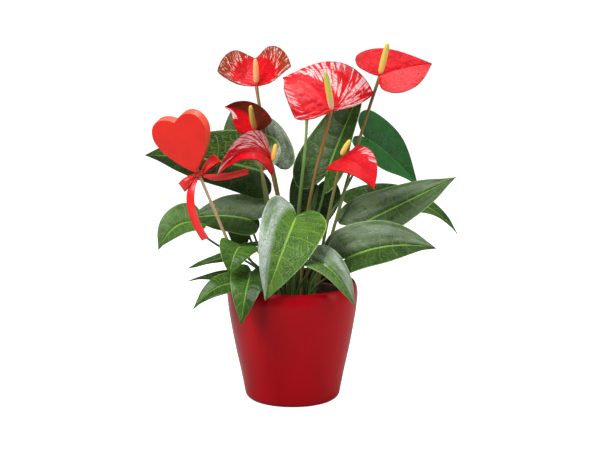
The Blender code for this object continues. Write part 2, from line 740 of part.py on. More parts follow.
def build():
    """Make every piece."""
    for made in list(bpy.data.objects):
        bpy.data.objects.remove(made)
    group = collection_named("potted_anthurium")
    cutters = collection_named("cutters")
    looks = {
        "pot": material("red_glaze", (0.42, 0.012, 0.018), 0.35),
        "grow": material("nursery_plastic", (0.05, 0.02, 0.015), 0.6),
        "soil": material("peat_soil", (0.035, 0.022, 0.015), 0.95),
        "leaf": material("leaf_green", (0.03, 0.13, 0.03), 0.35),
        "stem": material("stem_green", (0.12, 0.10, 0.03), 0.5),
        "spathe": material("spathe_red", (0.65, 0.02, 0.025), 0.25),
        "spadix": material("spadix_yellow", (0.75, 0.48, 0.08), 0.6),
        "stick": material("pale_wood", (0.65, 0.47, 0.28), 0.7),
        "heart": material("painted_heart", (0.80, 0.06, 0.03), 0.4),
        "ribbon": material("satin_ribbon", (0.62, 0.02, 0.03), 0.35),
    }
    turned("cover_pot", pot_profile(), POT_STEPS, group, looks["pot"])
    grow = turned("grow_pot", grow_profile(), GROW_STEPS, group, looks["grow"])
    holes = []
    for index in range(GROW_HOLES):
        turn = math.tau * index / GROW_HOLES
        x = math.cos(turn) * min(GROW_HOLE_RING, 0.6 * GROW_FOOT_RADIUS)
        y = math.sin(turn) * min(GROW_HOLE_RING, 0.6 * GROW_FOOT_RADIUS)
        holes.append(cylinder("hole", (x, y, GROW_BASE - 2 * MM), (x, y, GROW_BASE + 4 * MM),
                              GROW_HOLE_RADIUS, 8, cutters, looks["grow"]))
    drain = merged("drain_holes", holes, cutters, looks["grow"])
    boolean(grow, drain, "DIFFERENCE")
    bpy.data.objects.remove(drain)

    soil = turned("soil", soil_profile(), GROW_STEPS, group, looks["soil"])
    sockets = []
    feet = [(place((*blade.foot, 0)), PETIOLE_RADIUS * 1.25) for blade in LEAVES]
    feet += [(place((*blade.foot, 0)), STEM_RADIUS) for blade in SPATHES]
    feet.append((place(BUD_FOOT), BUD_STALK_RADIUS))
    for (x, y, z), radius in feet:
        sockets.append(cylinder("socket", (x, y, z - SOCKET_DEPTH), (x, y, z + 5 * MM),
                                (radius + SOCKET_FIT) * 1.16, 6, cutters, looks["soil"]))
    foot = stick_point(STICK_FOOT)
    top = stick_point(STICK_TOP)
    axis = unit(top - foot)
    sockets.append(cylinder("socket", foot - axis * 30 * MM, foot + axis * 12 * MM,
                            STICK_RADIUS + SOCKET_FIT, 12, cutters, looks["soil"]))
    bed = merged("stem_sockets", sockets, cutters, looks["soil"])
    boolean(soil, bed, "DIFFERENCE")
    bpy.data.objects.remove(bed)

    for blade in LEAVES:
        leaf(blade, group, cutters, looks["leaf"])
    young_leaf(group, looks["leaf"])
    for blade in SPATHES:
        flower(blade, group, looks)

    plaque = heart(group, cutters, looks["heart"])
    buried = foot - axis * (30 * MM - PIECE_GAP)
    stick = cylinder("heart_stick", buried, top, STICK_RADIUS, 12, group, looks["stick"])
    bore = cylinder("heart_bore", top - axis * 20 * MM, top + axis * PIECE_GAP,
                    STICK_RADIUS + PIECE_GAP, 12, cutters, looks["heart"])
    boolean(plaque, bore, "DIFFERENCE")
    bpy.data.objects.remove(bore)
    ribbon(group, cutters, looks["ribbon"])
    bpy.data.collections.remove(cutters)


build()
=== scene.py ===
"""Looks of the potted anthurium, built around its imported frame.

Six red flowers and twenty leaves stand in a satin red cover pot, with a painted heart on a wooden pick and
a satin bow. Every visible solid of the frame is replaced by a finer piece in the same place.
"""

import logging
import math
from dataclasses import dataclass, field
from enum import IntEnum
from functools import cache
from typing import Callable, Sequence

import bpy
import numpy as np
from mathutils import Euler, Matrix, Vector, noise

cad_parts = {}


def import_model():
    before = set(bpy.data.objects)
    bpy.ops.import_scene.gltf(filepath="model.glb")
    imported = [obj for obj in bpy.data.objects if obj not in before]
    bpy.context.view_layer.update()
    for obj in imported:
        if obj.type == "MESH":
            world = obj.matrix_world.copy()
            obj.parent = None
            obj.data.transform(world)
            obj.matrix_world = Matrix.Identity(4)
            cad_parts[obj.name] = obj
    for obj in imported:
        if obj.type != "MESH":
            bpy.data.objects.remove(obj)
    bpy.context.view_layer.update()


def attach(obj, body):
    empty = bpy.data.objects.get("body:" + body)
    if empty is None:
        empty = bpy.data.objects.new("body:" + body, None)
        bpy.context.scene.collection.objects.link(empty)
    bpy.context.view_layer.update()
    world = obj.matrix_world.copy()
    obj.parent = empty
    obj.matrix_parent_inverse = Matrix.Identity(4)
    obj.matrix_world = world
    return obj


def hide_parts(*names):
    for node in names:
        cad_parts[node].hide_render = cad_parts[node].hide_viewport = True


log = logging.getLogger("anthurium")

Point = tuple[float, float, float]
Pair = tuple[float, float]
Colour = tuple[float, float, float]
Piece = bpy.types.Object
Material = bpy.types.Material
Socket = bpy.types.NodeSocket

MM = 0.001
SOIL_LEVEL = 107.3 * MM
WELD = 0.01 * MM


class Tone(IntEnum):
    """What the channels of a blade's tone attribute stand for: painted sheen, brown, and painted shade on
    leaves together with the dark tip of a spathe.
    """

    # Painted sheen: pale colour laid where light would glance off the blade.
    BLOOM = 0
    # Brown colour; on the half-open spathe partly painted shade.
    BROWN = 1
    # Painted shade on leaf halves turned from the light, and the dark tip of a spathe.
    DARK = 2


# ---------------------------------------------------------------- small helpers


def place(point: Sequence[float]) -> np.ndarray:
    """Turn a plant position in millimetres, with height above the soil, into metres in the frame."""
    return np.array((point[0] * MM, point[1] * MM, SOIL_LEVEL + point[2] * MM))


def unit(vector: Sequence[float]) -> np.ndarray:
    """Scale a vector to length one."""
    vector = np.asarray(vector, dtype=float)
    return vector / np.linalg.norm(vector)


def units(vectors: np.ndarray) -> np.ndarray:
    """Scale each row to length one."""
    return vectors / np.linalg.norm(vectors, axis=1, keepdims=True)


def smooth(low: float, high: float, value: np.ndarray) -> np.ndarray:
    """Smooth step from 0 at low to 1 at high."""
    share = np.clip((value - low) / (high - low), 0.0, 1.0)
    return share * share * (3 - 2 * share)


def toned(colour: Colour, share: float) -> Colour:
    """A colour made darker or lighter by a share."""
    return tuple(part * share for part in colour)


def halves(pair: Pair, share: np.ndarray) -> np.ndarray:
    """Blend two values by a share from 0 to 1."""
    return pair[0] * (1 - share) + pair[1] * share


def around(across: np.ndarray, other: np.ndarray, radius: np.ndarray, turn: np.ndarray) -> np.ndarray:
    """Offsets from an axis, at a radius and an angle round it."""
    return across * (radius * np.cos(turn))[:, None] + other * (radius * np.sin(turn))[:, None]


def facing(start: Point, end: Point) -> Euler:
    """Rotation of a lamp or camera that looks from one point to another."""
    return (Vector(end) - Vector(start)).to_track_quat("-Z", "Y").to_euler()


def object_mode() -> None:
    """Go back to object mode with nothing selected."""
    if bpy.context.object and bpy.context.object.mode != "OBJECT":
        bpy.ops.object.mode_set(mode="OBJECT")
    bpy.ops.object.select_all(action="DESELECT")


def pick(*pieces: Piece) -> None:
    """Select only these pieces, the first of them active.

    Args:
        pieces: The pieces.
    """
    object_mode()
    for piece in pieces:
        piece.select_set(True)
    bpy.context.view_layer.objects.active = pieces[0]


def named(piece: Piece, name: str) -> Piece:
    """Give a piece and its mesh their name.

    Args:
        piece: The piece.
        name: The name.

    Returns:
        The piece.
    """
    piece.name = name
    piece.data.name = name
    return piece


def points_of(piece: Piece) -> np.ndarray:
    """The piece's vertex positions as an (n, 3) array.

    Args:
        piece: The piece.

    Returns:
        The positions, in metres.
    """
    flat = np.empty(len(piece.data.vertices) * 3, dtype=np.float64)
    piece.data.vertices.foreach_get("co", flat)
    return flat.reshape(-1, 3)


def move_points(piece: Piece, points: np.ndarray) -> None:
    """Write vertex positions back to the piece."""
    piece.data.vertices.foreach_set("co", np.asarray(points, dtype=np.float32).ravel())
    piece.data.update()


def write_uv(piece: Piece, uv: np.ndarray, name: str = "") -> None:
    """Write one UV pair for each vertex to the piece's first UV map, or to a new one with a name.

    Args:
        piece: The piece.
        uv: One pair for each vertex.
        name: Name of a new map, or nothing for the first one.
    """
    mesh = piece.data
    if name or not mesh.uv_layers:
        mesh.uv_layers.new(name=name or "UVMap", do_init=False)
    layer = mesh.uv_layers[name] if name else mesh.uv_layers[0]
    corner = np.empty(len(mesh.loops), dtype=np.int32)
    mesh.loops.foreach_get("vertex_index", corner)
    layer.data.foreach_set("uv", uv[corner].astype(np.float32).ravel())


def write_tone(piece: Piece, tone: np.ndarray) -> None:
    """Write the three tone shares of each vertex to the colour attribute that the finishes read.

    Args:
        piece: The piece.
        tone: Three shares for each vertex, in the order of Tone.
    """
    layer = piece.data.color_attributes.new(name="tone", type="FLOAT_COLOR", domain="POINT")
    rgba = np.ones((len(tone), 4), dtype=np.float32)
    rgba[:, :3] = tone
    layer.data.foreach_set("color", rgba.ravel())


def dress(piece: Piece, *finishes: Material) -> None:
    """Replace the piece's materials.

    Args:
        piece: The piece.
        finishes: The materials, by slot.
    """
    piece.data.materials.clear()
    for finish in finishes:
        piece.data.materials.append(finish)


def apply_modifiers(piece: Piece) -> None:
    """Apply all modifiers of a piece in order.

    Args:
        piece: The piece.
    """
    pick(piece)
    for modifier in list(piece.modifiers):
        bpy.ops.object.modifier_apply(modifier=modifier.name)


def edit(piece: Piece, *steps: Callable[[], object]) -> None:
    """Run operators in edit mode on the whole piece.

    Args:
        piece: The piece.
        steps: The operators, in order.
    """
    pick(piece)
    bpy.ops.object.mode_set(mode="EDIT")
    bpy.ops.mesh.select_all(action="SELECT")
    for step in steps:
        step()
    bpy.ops.object.mode_set(mode="OBJECT")


def face_outward(piece: Piece) -> None:
    """Point the normals of a closed piece outward."""
    edit(piece, lambda: bpy.ops.mesh.normals_make_consistent(inside=False))


def thicken(piece: Piece, thickness: float, offset: float = -1.0, **settings: object) -> None:
    """Give a sheet its thickness.

    Args:
        piece: The sheet.
        thickness: Its thickness, in metres.
        offset: -1 to grow behind its face, 0 to grow both ways.
        settings: Other settings of the Solidify modifier.
    """
    solid = piece.modifiers.new("thickness", "SOLIDIFY")
    solid.thickness = thickness
    solid.offset = offset
    for name, value in settings.items():
        setattr(solid, name, value)
    apply_modifiers(piece)


def soften(piece: Piece, degrees: float) -> None:
    """Shade smooth, with edges sharper than an angle kept crisp."""
    pick(piece)
    bpy.ops.object.shade_smooth_by_angle(angle=math.radians(degrees))


def finish_piece(piece: Piece, slot: str, *nodes: str) -> Piece:
    """Tie a piece to the frame: what it rides on and which solids it stands for.

    Args:
        piece: The piece.
        slot: Name of the frame's material slot; not used.
        nodes: The nodes that it stands for.

    Returns:
        The piece.
    """
    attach(piece, "root")
    if nodes:
        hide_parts(*nodes)
    log.info("%s: %d faces", piece.name, len(piece.data.polygons))
    return piece


def grid(name: str, columns: int, rows: int) -> tuple[Piece, np.ndarray, np.ndarray]:
    """Add a flat grid to be shaped.

    Args:
        name: The piece's name.
        columns: Cells across.
        rows: Cells along.

    Returns:
        The piece, and each vertex's place across (-1 to 1) and along (0 to 1).
    """
    object_mode()
    bpy.ops.mesh.primitive_grid_add(x_subdivisions=columns, y_subdivisions=rows, size=2)
    piece = named(bpy.context.object, name)
    co = points_of(piece)
    return piece, co[:, 0].copy(), (co[:, 1] + 1) / 2


def lathe(name: str, profile: Sequence[Pair], steps: int) -> Piece:
    """Spin a profile that starts and ends on the axis into a closed turned piece.

    Args:
        name: The piece's name.
        profile: (radius, height) pairs in metres.
        steps: Steps of the full turn.

    Returns:
        The turned piece.
    """
    object_mode()
    bpy.ops.mesh.primitive_circle_add(vertices=len(profile), radius=0.1)
    piece = named(bpy.context.object, name)
    last = len(profile) - 1
    closing = [e.index for e in piece.data.edges if set(e.vertices) == {0, last}]
    move_points(piece, np.array([(radius, 0.0, height) for radius, height in profile]))
    bpy.ops.object.mode_set(mode="EDIT")
    bpy.ops.mesh.select_all(action="DESELECT")
    bpy.ops.object.mode_set(mode="OBJECT")
    bpy.context.tool_settings.mesh_select_mode = (False, True, False)
    for index in closing:
        piece.data.edges[index].select = True
    bpy.ops.object.mode_set(mode="EDIT")
    bpy.ops.mesh.delete(type="EDGE")
    bpy.context.tool_settings.mesh_select_mode = (True, False, False)
    bpy.ops.mesh.select_all(action="SELECT")
    bpy.ops.mesh.spin(steps=steps, angle=math.tau, center=(0, 0, 0), axis=(0, 0, 1))
    bpy.ops.mesh.select_all(action="SELECT")
    bpy.ops.mesh.remove_doubles(threshold=0.02 * MM)
    bpy.ops.mesh.normals_make_consistent(inside=False)
    bpy.ops.object.mode_set(mode="OBJECT")
    return piece


def sweep(name: str, path: np.ndarray, radii: np.ndarray, sides: int = 10) -> Piece:
    """Sweep a round section of changing radius along a path.

    Args:
        name: The piece's name.
        path: (n, 3) points in metres.
        radii: n radii in metres.
        sides: How finely the section is rounded, near its number of corners.

    Returns:
        The tube as a mesh, closed at both ends, with UVs round and along.
    """
    object_mode()
    bpy.ops.curve.primitive_nurbs_path_add()
    holder = bpy.context.object
    curve = holder.data
    curve.splines.clear()
    spline = curve.splines.new("POLY")
    spline.points.add(len(path) - 1)
    for index, (centre, radius) in enumerate(zip(path, radii)):
        spline.points[index].co = (*centre, 1.0)
        spline.points[index].radius = radius
    curve.dimensions = "3D"
    curve.bevel_depth = 1.0
    curve.bevel_resolution = max(sides // 2 - 1, 0)
    curve.use_fill_caps = True
    curve.twist_mode = "MINIMUM"
    bpy.ops.object.convert(target="MESH")
    piece = named(bpy.context.object, name)
    edit(piece, lambda: bpy.ops.mesh.remove_doubles(threshold=WELD),
         lambda: bpy.ops.mesh.normals_make_consistent(inside=False))
    return piece


def bezier(points: Sequence[Sequence[float]], steps: int) -> np.ndarray:
    """Points along a Bezier curve of any degree.

    Args:
        points: Its control points.
        steps: Number of points wanted.

    Returns:
        (steps, 3) points.
    """
    made = []
    for t in np.linspace(0, 1, steps):
        level = [np.asarray(point, dtype=float) for point in points]
        while len(level) > 1:
            level = [a * (1 - t) + b * t for a, b in zip(level, level[1:])]
        made.append(level[0])
    return np.array(made)


def arc(start: np.ndarray, middle: np.ndarray, end: np.ndarray,
        t: np.ndarray) -> tuple[np.ndarray, np.ndarray]:
    """Points and directions along an arc drawn toward its middle point.

    Args:
        start: Where it starts.
        middle: The point that it bends toward.
        end: Where it ends.
        t: n shares of the way, from 0 to 1.

    Returns:
        The points and their unit directions, each (n, 3).
    """
    t = t[:, None]
    points = (1 - t) ** 2 * start + 2 * t * (1 - t) * middle + t ** 2 * end
    return points, units((1 - t) * (middle - start) + t * (end - middle))


def smooth_between(table: np.ndarray, index: int, steps: int) -> np.ndarray:
    """Points of a smooth line through a table's rows, from one row to just before the next.

    Args:
        table: The rows that the line goes through.
        index: The row to start from.
        steps: Number of points wanted.

    Returns:
        (steps, columns) points.
    """
    before, start = table[max(index - 1, 0)], table[index]
    end, after = table[index + 1], table[min(index + 2, len(table) - 1)]
    t = (np.arange(steps) / steps)[:, None]
    bend = 2 * before - 5 * start + 4 * end - after
    swing = 3 * start - before - 3 * end + after
    return 0.5 * (2 * start + (end - before) * t + bend * t ** 2 + swing * t ** 3)


def spline_through(points: Sequence[Pair], steps: int) -> list[Pair]:
    """Smooth line through (radius, height) points, with some points between each two.

    Args:
        points: The points that the line goes through.
        steps: Points from each one to the next.

    Returns:
        The line, with its last point.
    """
    table = np.array(points, dtype=float)
    rows = [smooth_between(table, index, steps) for index in range(len(table) - 1)]
    return [tuple(map(float, row)) for row in np.vstack([*rows, table[-1:]])]


# ---------------------------------------------------------------- finishes


class Mixing:
    """A material's node tree, with short ways to add and join its nodes."""

    def __init__(self, name: str) -> None:
        """Start a Principled material.

        Args:
            name: The material's name.
        """
        self.material = bpy.data.materials.new(name)
        self.material.use_nodes = True
        self.tree = self.material.node_tree
        self.shader = self.tree.nodes["Principled BSDF"]

    def set(self, **values: object) -> None:
        """Set uniform values on the shader's own sockets; underscores stand for spaces.

        Args:
            values: The values, by socket name.
        """
        for name, value in values.items():
            socket = self.shader.inputs[name.replace("_", " ")]
            socket.default_value = (*value, 1.0) if socket.type == "RGBA" else value

    def add(self, kind: str, **values: object) -> bpy.types.Node:
        """Add a node and set its properties.

        Args:
            kind: The node's type.
            values: Its properties.

        Returns:
            The node.
        """
        node = self.tree.nodes.new(kind)
        for name, value in values.items():
            setattr(node, name, value)
        return node

    def feed(self, socket: Socket, value: object) -> None:
        """Link a socket to a value socket, or set a plain value on it.

        Args:
            socket: The input.
            value: An output socket or a plain value.
        """
        if isinstance(value, Socket):
            self.tree.links.new(value, socket)
        elif isinstance(value, tuple) and len(value) == 3 and socket.type == "RGBA":
            socket.default_value = (*value, 1.0)
        else:
            socket.default_value = value

    def math(self, operation: str, first: object, second: object = 0.0, third: object = 0.0) -> Socket:
        """Add a Math node and return its output.

        Args:
            operation: The operation's name.
            first: The first value.
            second: The second value.
            third: The third value, where the operation has one.

        Returns:
            The result.
        """
        node = self.add("ShaderNodeMath", operation=operation)
        for socket, value in zip(node.inputs, (first, second, third)):
            self.feed(socket, value)
        return node.outputs[0]

    def times(self, first: object, second: object) -> Socket:
        """Multiply two values."""
        return self.math("MULTIPLY", first, second)

    def scale_add(self, value: object, factor: float, offset: float) -> Socket:
        """Multiply a value and add to it."""
        return self.math("MULTIPLY_ADD", value, factor, offset)

    def step(self, value: object, low: float, high: float, start: float = 0.0,
             end: float = 1.0) -> Socket:
        """Smooth step of a value between low and high.

        Args:
            value: The value.
            low: Where the step starts.
            high: Where it ends.
            start: Result at low.
            end: Result at high.

        Returns:
            The result.
        """
        node = self.add("ShaderNodeMapRange", interpolation_type="SMOOTHSTEP")
        for socket, one in zip(node.inputs, (value, low, high, start, end)):
            self.feed(socket, one)
        return node.outputs[0]

    def mix(self, share: object, first: object, second: object) -> Socket:
        """Mix two colours.

        Args:
            share: Share of the second colour.
            first: The first colour.
            second: The second colour.

        Returns:
            The mixed colour.
        """
        node = self.add("ShaderNodeMix", data_type="RGBA")
        self.feed(node.inputs[0], share)
        self.feed(node.inputs[6], first)
        self.feed(node.inputs[7], second)
        return node.outputs[2]

    def lay(self, under: object, over: object, mask: object, share: float) -> Socket:
        """Lay a share of a colour over another where a mask is set."""
        return self.mix(self.times(mask, share), under, over)

    def scaled(self, vector: Socket, scale: Point, turn: Point = (0.0, 0.0, 0.0)) -> Socket:
        """Turn and scale a pattern's coordinates.

        Args:
            vector: Coordinates of the pattern.
            scale: Scale on each axis.
            turn: Turn about each axis, in radians.

        Returns:
            The new coordinates.
        """
        node = self.add("ShaderNodeMapping")
        self.feed(node.inputs["Vector"], vector)
        node.inputs["Scale"].default_value = scale
        node.inputs["Rotation"].default_value = turn
        return node.outputs[0]

    def coordinates(self, kind: str) -> Socket:
        """Texture coordinates of one kind, Object or UV."""
        return self.add("ShaderNodeTexCoord").outputs[kind]

    def split(self, vector: Socket) -> tuple[Socket, ...]:
        """The three numbers of a vector.

        Args:
            vector: The vector.

        Returns:
            Sockets of x, y and z.
        """
        node = self.add("ShaderNodeSeparateXYZ")
        self.feed(node.inputs[0], vector)
        return tuple(node.outputs)

    def join(self, x: object, y: object) -> Socket:
        """A vector of two numbers, flat.

        Args:
            x: The first number.
            y: The second number.

        Returns:
            The vector.
        """
        node = self.add("ShaderNodeCombineXYZ")
        self.feed(node.inputs[0], x)
        self.feed(node.inputs[1], y)
        return node.outputs[0]

    def noise(self, vector: object, scale: float, detail: float = 3.0, rough: float = 0.55,
              warp: float = 0.0) -> Socket:
        """Noise from 0 to 1.

        Args:
            vector: Coordinates of the pattern.
            scale: Its fineness.
            detail: Layers of finer noise.
            rough: Strength of the finer layers.
            warp: How far it is distorted.

        Returns:
            The noise.
        """
        node = self.add("ShaderNodeTexNoise")
        self.feed(node.inputs["Vector"], vector)
        node.inputs["Scale"].default_value = scale
        node.inputs["Detail"].default_value = detail
        node.inputs["Roughness"].default_value = rough
        node.inputs["Distortion"].default_value = warp
        return node.outputs[0]

    def cells(self, vector: object, scale: float, feature: str = "DISTANCE_TO_EDGE",
              jitter: float = 1.0) -> Socket:
        """Cell pattern: distance to the cells' edges, or to their middles.

        Args:
            vector: Coordinates of the pattern.
            scale: Their fineness.
            feature: What is measured, in Blender's words.
            jitter: How irregular they are, from 0 to 1.

        Returns:
            The distance.
        """
        node = self.add("ShaderNodeTexVoronoi", feature=feature)
        self.feed(node.inputs["Vector"], vector)
        node.inputs["Scale"].default_value = scale
        node.inputs["Randomness"].default_value = jitter
        return node.outputs["Distance"]

    def bump(self, height: object, strength: float, depth: float,
             after: Socket | None = None) -> Socket:
        """Bump of a height, on top of an earlier one.

        Args:
            height: The height.
            strength: Its strength, from 0 to 1.
            depth: Its depth, in metres.
            after: The bump that it lies on.

        Returns:
            The normal.
        """
        node = self.add("ShaderNodeBump")
        node.inputs["Strength"].default_value = strength
        node.inputs["Distance"].default_value = depth
        self.feed(node.inputs["Height"], height)
        if after is not None:
            self.feed(node.inputs["Normal"], after)
        return node.outputs[0]

    def rays(self) -> tuple[Socket, ...]:
        """The blade's ray coordinates: the angle round its base, and the distance from it."""
        node = self.add("ShaderNodeUVMap", uv_map="rays")
        return self.split(node.outputs[0])[:2]

    def tone(self) -> tuple[Socket, ...]:
        """The three tone shares painted on a blade.

        Returns:
            Sockets in the order of Tone.
        """
        node = self.add("ShaderNodeAttribute", attribute_name="tone")
        parts = self.add("ShaderNodeSeparateColor")
        self.feed(parts.inputs[0], node.outputs["Color"])
        return tuple(parts.outputs)[:3]

    def shade(self, socket: str, value: object) -> None:
        """Feed one of the shader's sockets."""
        self.feed(self.shader.inputs[socket], value)


@dataclass(frozen=True)
class Finish:
    """A material described by its colours and numbers. Each kind of finish paints its own."""

    name: str

    def paint(self, mixing: Mixing) -> None:
        """Join the finish's nodes to the shader."""
        raise NotImplementedError

    @cache
    def make(self) -> Material:
        """Build the material the first time it is asked for.

        Returns:
            The material.
        """
        mixing = Mixing(self.name)
        self.paint(mixing)
        return mixing.material


@dataclass(frozen=True)
class VeinPattern:
    """How a blade's veins run: side veins curving from the midrib to the margin."""

    count: float = 9.0
    sweep_forward: float = 0.07
    fine: float = 0.455

    def nodes(self, mixing: Mixing) -> dict[str, Socket]:
        """Build the vein masks from the blade's UV map.

        Args:
            mixing: The tree to build in.

        Returns:
            Masks and coordinates by name.
        """
        u, v, _ = mixing.split(mixing.coordinates("UV"))
        side = mixing.scale_add(u, 2.0, -1.0)
        across = mixing.math("ABSOLUTE", side)
        bend = mixing.times(mixing.math("POWER", across, 2.0), self.sweep_forward)
        row = mixing.math("SUBTRACT", v, bend)
        phase = mixing.times(row, self.count)
        apart = mixing.math("ABSOLUTE", mixing.math("SUBTRACT", mixing.math("FRACT", phase), 0.5))
        vein = mixing.step(apart, self.fine, 0.5)
        vein = mixing.times(vein, mixing.step(across, 1.0, 0.75))
        midrib = mixing.step(across, 0.055, 0.012)
        margin = mixing.step(across, 0.955, 0.995)
        return {"u": side, "row": phase, "vein": vein, "midrib": midrib, "margin": margin}


@dataclass(frozen=True)
class LeafFinish(Finish):
    """Waxy upper side of a leaf with pale veins and a fine net between them."""

    green: Colour
    deep: Colour
    vein: Colour = (0.17, 0.30, 0.10)
    # Colour of the painted sheen, a pale highlight laid into the leaf's colour.
    painted_sheen: Colour = (0.46, 0.54, 0.42)
    roughness: float = 0.30
    net: float = 0.12
    relief: float = 1.0
    coat: float = 0.15
    specular: float = 0.22
    ribs: float = 0.85
    pattern: VeinPattern = VeinPattern()

    def paint(self, mixing: Mixing) -> None:
        """Lay green, then the net and the veins, then the painted sheen and the painted shade.

        Args:
            mixing: The tree to build in.
        """
        masks = self.pattern.nodes(mixing)
        place_in = mixing.coordinates("Object")
        mottle = mixing.noise(place_in, 70.0, 4.0)
        colour = mixing.mix(mixing.step(mottle, 0.35, 0.65), self.deep, self.green)
        along = mixing.join(mixing.times(masks["u"], 9.0), masks["row"])
        net = mixing.cells(along, 2.6)
        lines = mixing.step(net, 0.10, 0.0)
        colour = mixing.lay(colour, self.vein, lines, self.net)
        colour = mixing.lay(colour, self.vein, masks["vein"], self.ribs)
        pale = toned(self.vein, 1.5)
        colour = mixing.lay(colour, pale, masks["midrib"], 0.75)
        colour = mixing.lay(colour, pale, masks["margin"], 0.8)
        # The tone paints a pale sheen and a dark painted shade into the colour.
        painted_sheen, _, dark = mixing.tone()
        broad = mixing.scaled(along, (0.35, 0.30, 1.0))
        cloud = mixing.step(mixing.noise(broad, 1.0, 4.0, 0.55), 0.34, 0.62)
        sheen_share = mixing.times(painted_sheen, mixing.scale_add(cloud, 0.75, 0.25))
        veins = mixing.math("MAXIMUM", lines, masks["vein"])
        sheen_share = mixing.times(sheen_share, mixing.math("SUBTRACT", 1.0, mixing.times(veins, 0.85)))
        colour = mixing.mix(sheen_share, colour, self.painted_sheen)
        colour = mixing.mix(dark, colour, toned(self.deep, 0.35))
        mixing.shade("Base Color", colour)
        mixing.shade("Roughness", mixing.scale_add(mottle, 0.22, self.roughness - 0.1))
        quilt = mixing.bump(mixing.step(net, 0.0, 0.25), 0.55, 0.8 * MM)
        grain = mixing.bump(mixing.noise(place_in, 1400.0, 2.0), 0.10, 0.08 * MM, quilt)
        ribs = mixing.math("ADD", masks["vein"], masks["midrib"])
        mixing.shade("Normal", mixing.bump(ribs, 0.4, -0.5 * MM, grain))
        mixing.set(Specular_IOR_Level=self.specular, Coat_Weight=self.coat, Coat_Roughness=0.16)


@dataclass(frozen=True)
class LeafBackFinish(Finish):
    """Duller, paler underside of a leaf with raised veins."""

    name: str = "leaf_underside"
    green: Colour = (0.085, 0.19, 0.06)
    vein: Colour = (0.25, 0.36, 0.13)
    pattern: VeinPattern = VeinPattern()

    def paint(self, mixing: Mixing) -> None:
        """Lay pale green, with its veins and midrib standing out.

        Args:
            mixing: The tree to build in.
        """
        masks = self.pattern.nodes(mixing)
        mottle = mixing.noise(mixing.coordinates("Object"), 90.0, 4.0)
        colour = mixing.mix(mixing.step(mottle, 0.3, 0.7), toned(self.green, 0.75), self.green)
        along = mixing.join(mixing.times(masks["u"], 9.0), masks["row"])
        net = mixing.cells(along, 2.6)
        colour = mixing.lay(colour, self.vein, mixing.step(net, 0.06, 0.0), 0.25)
        colour = mixing.lay(colour, self.vein, masks["vein"], 0.7)
        colour = mixing.mix(masks["midrib"], colour, self.vein)
        mixing.shade("Base Color", colour)
        mixing.shade("Roughness", mixing.scale_add(mottle, 0.15, 0.45))
        ribs = mixing.math("ADD", masks["vein"], masks["midrib"])
        mixing.shade("Normal", mixing.bump(ribs, 0.6, 0.6 * MM, mixing.bump(net, 0.2, 0.3 * MM)))
        mixing.set(Specular_IOR_Level=0.35)


@dataclass(frozen=True)
class SpatheFinish(Finish):
    """Lacquer-like face of a spathe: red, with painted highlights laid as pale streaks that the net of sunk
    veins breaks up.

    The streaks run along rays from the blade's base, where the main veins start.
    """

    red: Colour = (0.56, 0.004, 0.010)
    deep: Colour = (0.40, 0.002, 0.006)
    brown: Colour = (0.10, 0.022, 0.006)
    # Colour of the painted highlight streaks.
    pale: Colour = (0.74, 0.41, 0.42)
    tip: Colour = (0.05, 0.006, 0.012)
    roughness: float = 0.38
    coat: float = 0.06
    specular: float = 0.14
    rays: float = 11.0
    broken: float = 2.2
    pattern: VeinPattern = VeinPattern(8.0, 0.10)

    def paint(self, mixing: Mixing) -> None:
        """Lay red, then the brown stretches, the net, the painted highlight streaks, the margin and the dark
        tip.

        Args:
            mixing: The tree to build in.
        """
        masks = self.pattern.nodes(mixing)
        place_in = mixing.coordinates("Object")
        angle, reach = mixing.rays()
        mottle = mixing.noise(place_in, 110.0, 4.0)
        colour = mixing.mix(mixing.step(mottle, 0.3, 0.7), self.deep, self.red)
        fan = mixing.join(mixing.times(angle, self.rays), mixing.times(reach, self.broken))
        along = mixing.join(mixing.times(masks["u"], 7.0), masks["row"])
        net = mixing.cells(along, 1.9)
        lines = mixing.step(net, 0.10, 0.0)
        painted_sheen, brown, dark = mixing.tone()
        # The brown stretches: the spathe's own brown, and on the half-open spathe partly painted shade.
        brown_and_shade = mixing.times(brown, mixing.step(mottle, 0.15, 0.5))
        colour = mixing.mix(brown_and_shade, colour, self.brown)
        colour = mixing.lay(colour, toned(self.deep, 0.6), lines, 0.30)
        # The pale streaks are painted highlights, laid where the tone's sheen share is high.
        ridge = mixing.noise(fan, 1.0, 4.0, 0.62, 1.1)
        cover = mixing.scale_add(painted_sheen, 0.28, -0.76)
        highlight_streaks = mixing.step(mixing.math("ADD", ridge, cover), 0.0, 0.07)
        highlight_streaks = mixing.times(highlight_streaks, mixing.step(net, 0.02, 0.10, 0.35, 1.0))
        colour = mixing.mix(highlight_streaks, colour, self.pale)
        colour = mixing.lay(colour, toned(self.deep, 0.5), masks["margin"], 0.6)
        colour = mixing.mix(dark, colour, self.tip)
        mixing.shade("Base Color", colour)
        mixing.shade("Roughness", mixing.scale_add(mottle, 0.15, self.roughness - 0.08))
        fine = mixing.bump(ridge, 0.25, 0.4 * MM)
        mixing.shade("Normal", mixing.bump(mixing.step(net, 0.0, 0.3), 0.25, 0.35 * MM, fine))
        mixing.set(Specular_IOR_Level=self.specular, Coat_Weight=self.coat, Coat_Roughness=0.15)


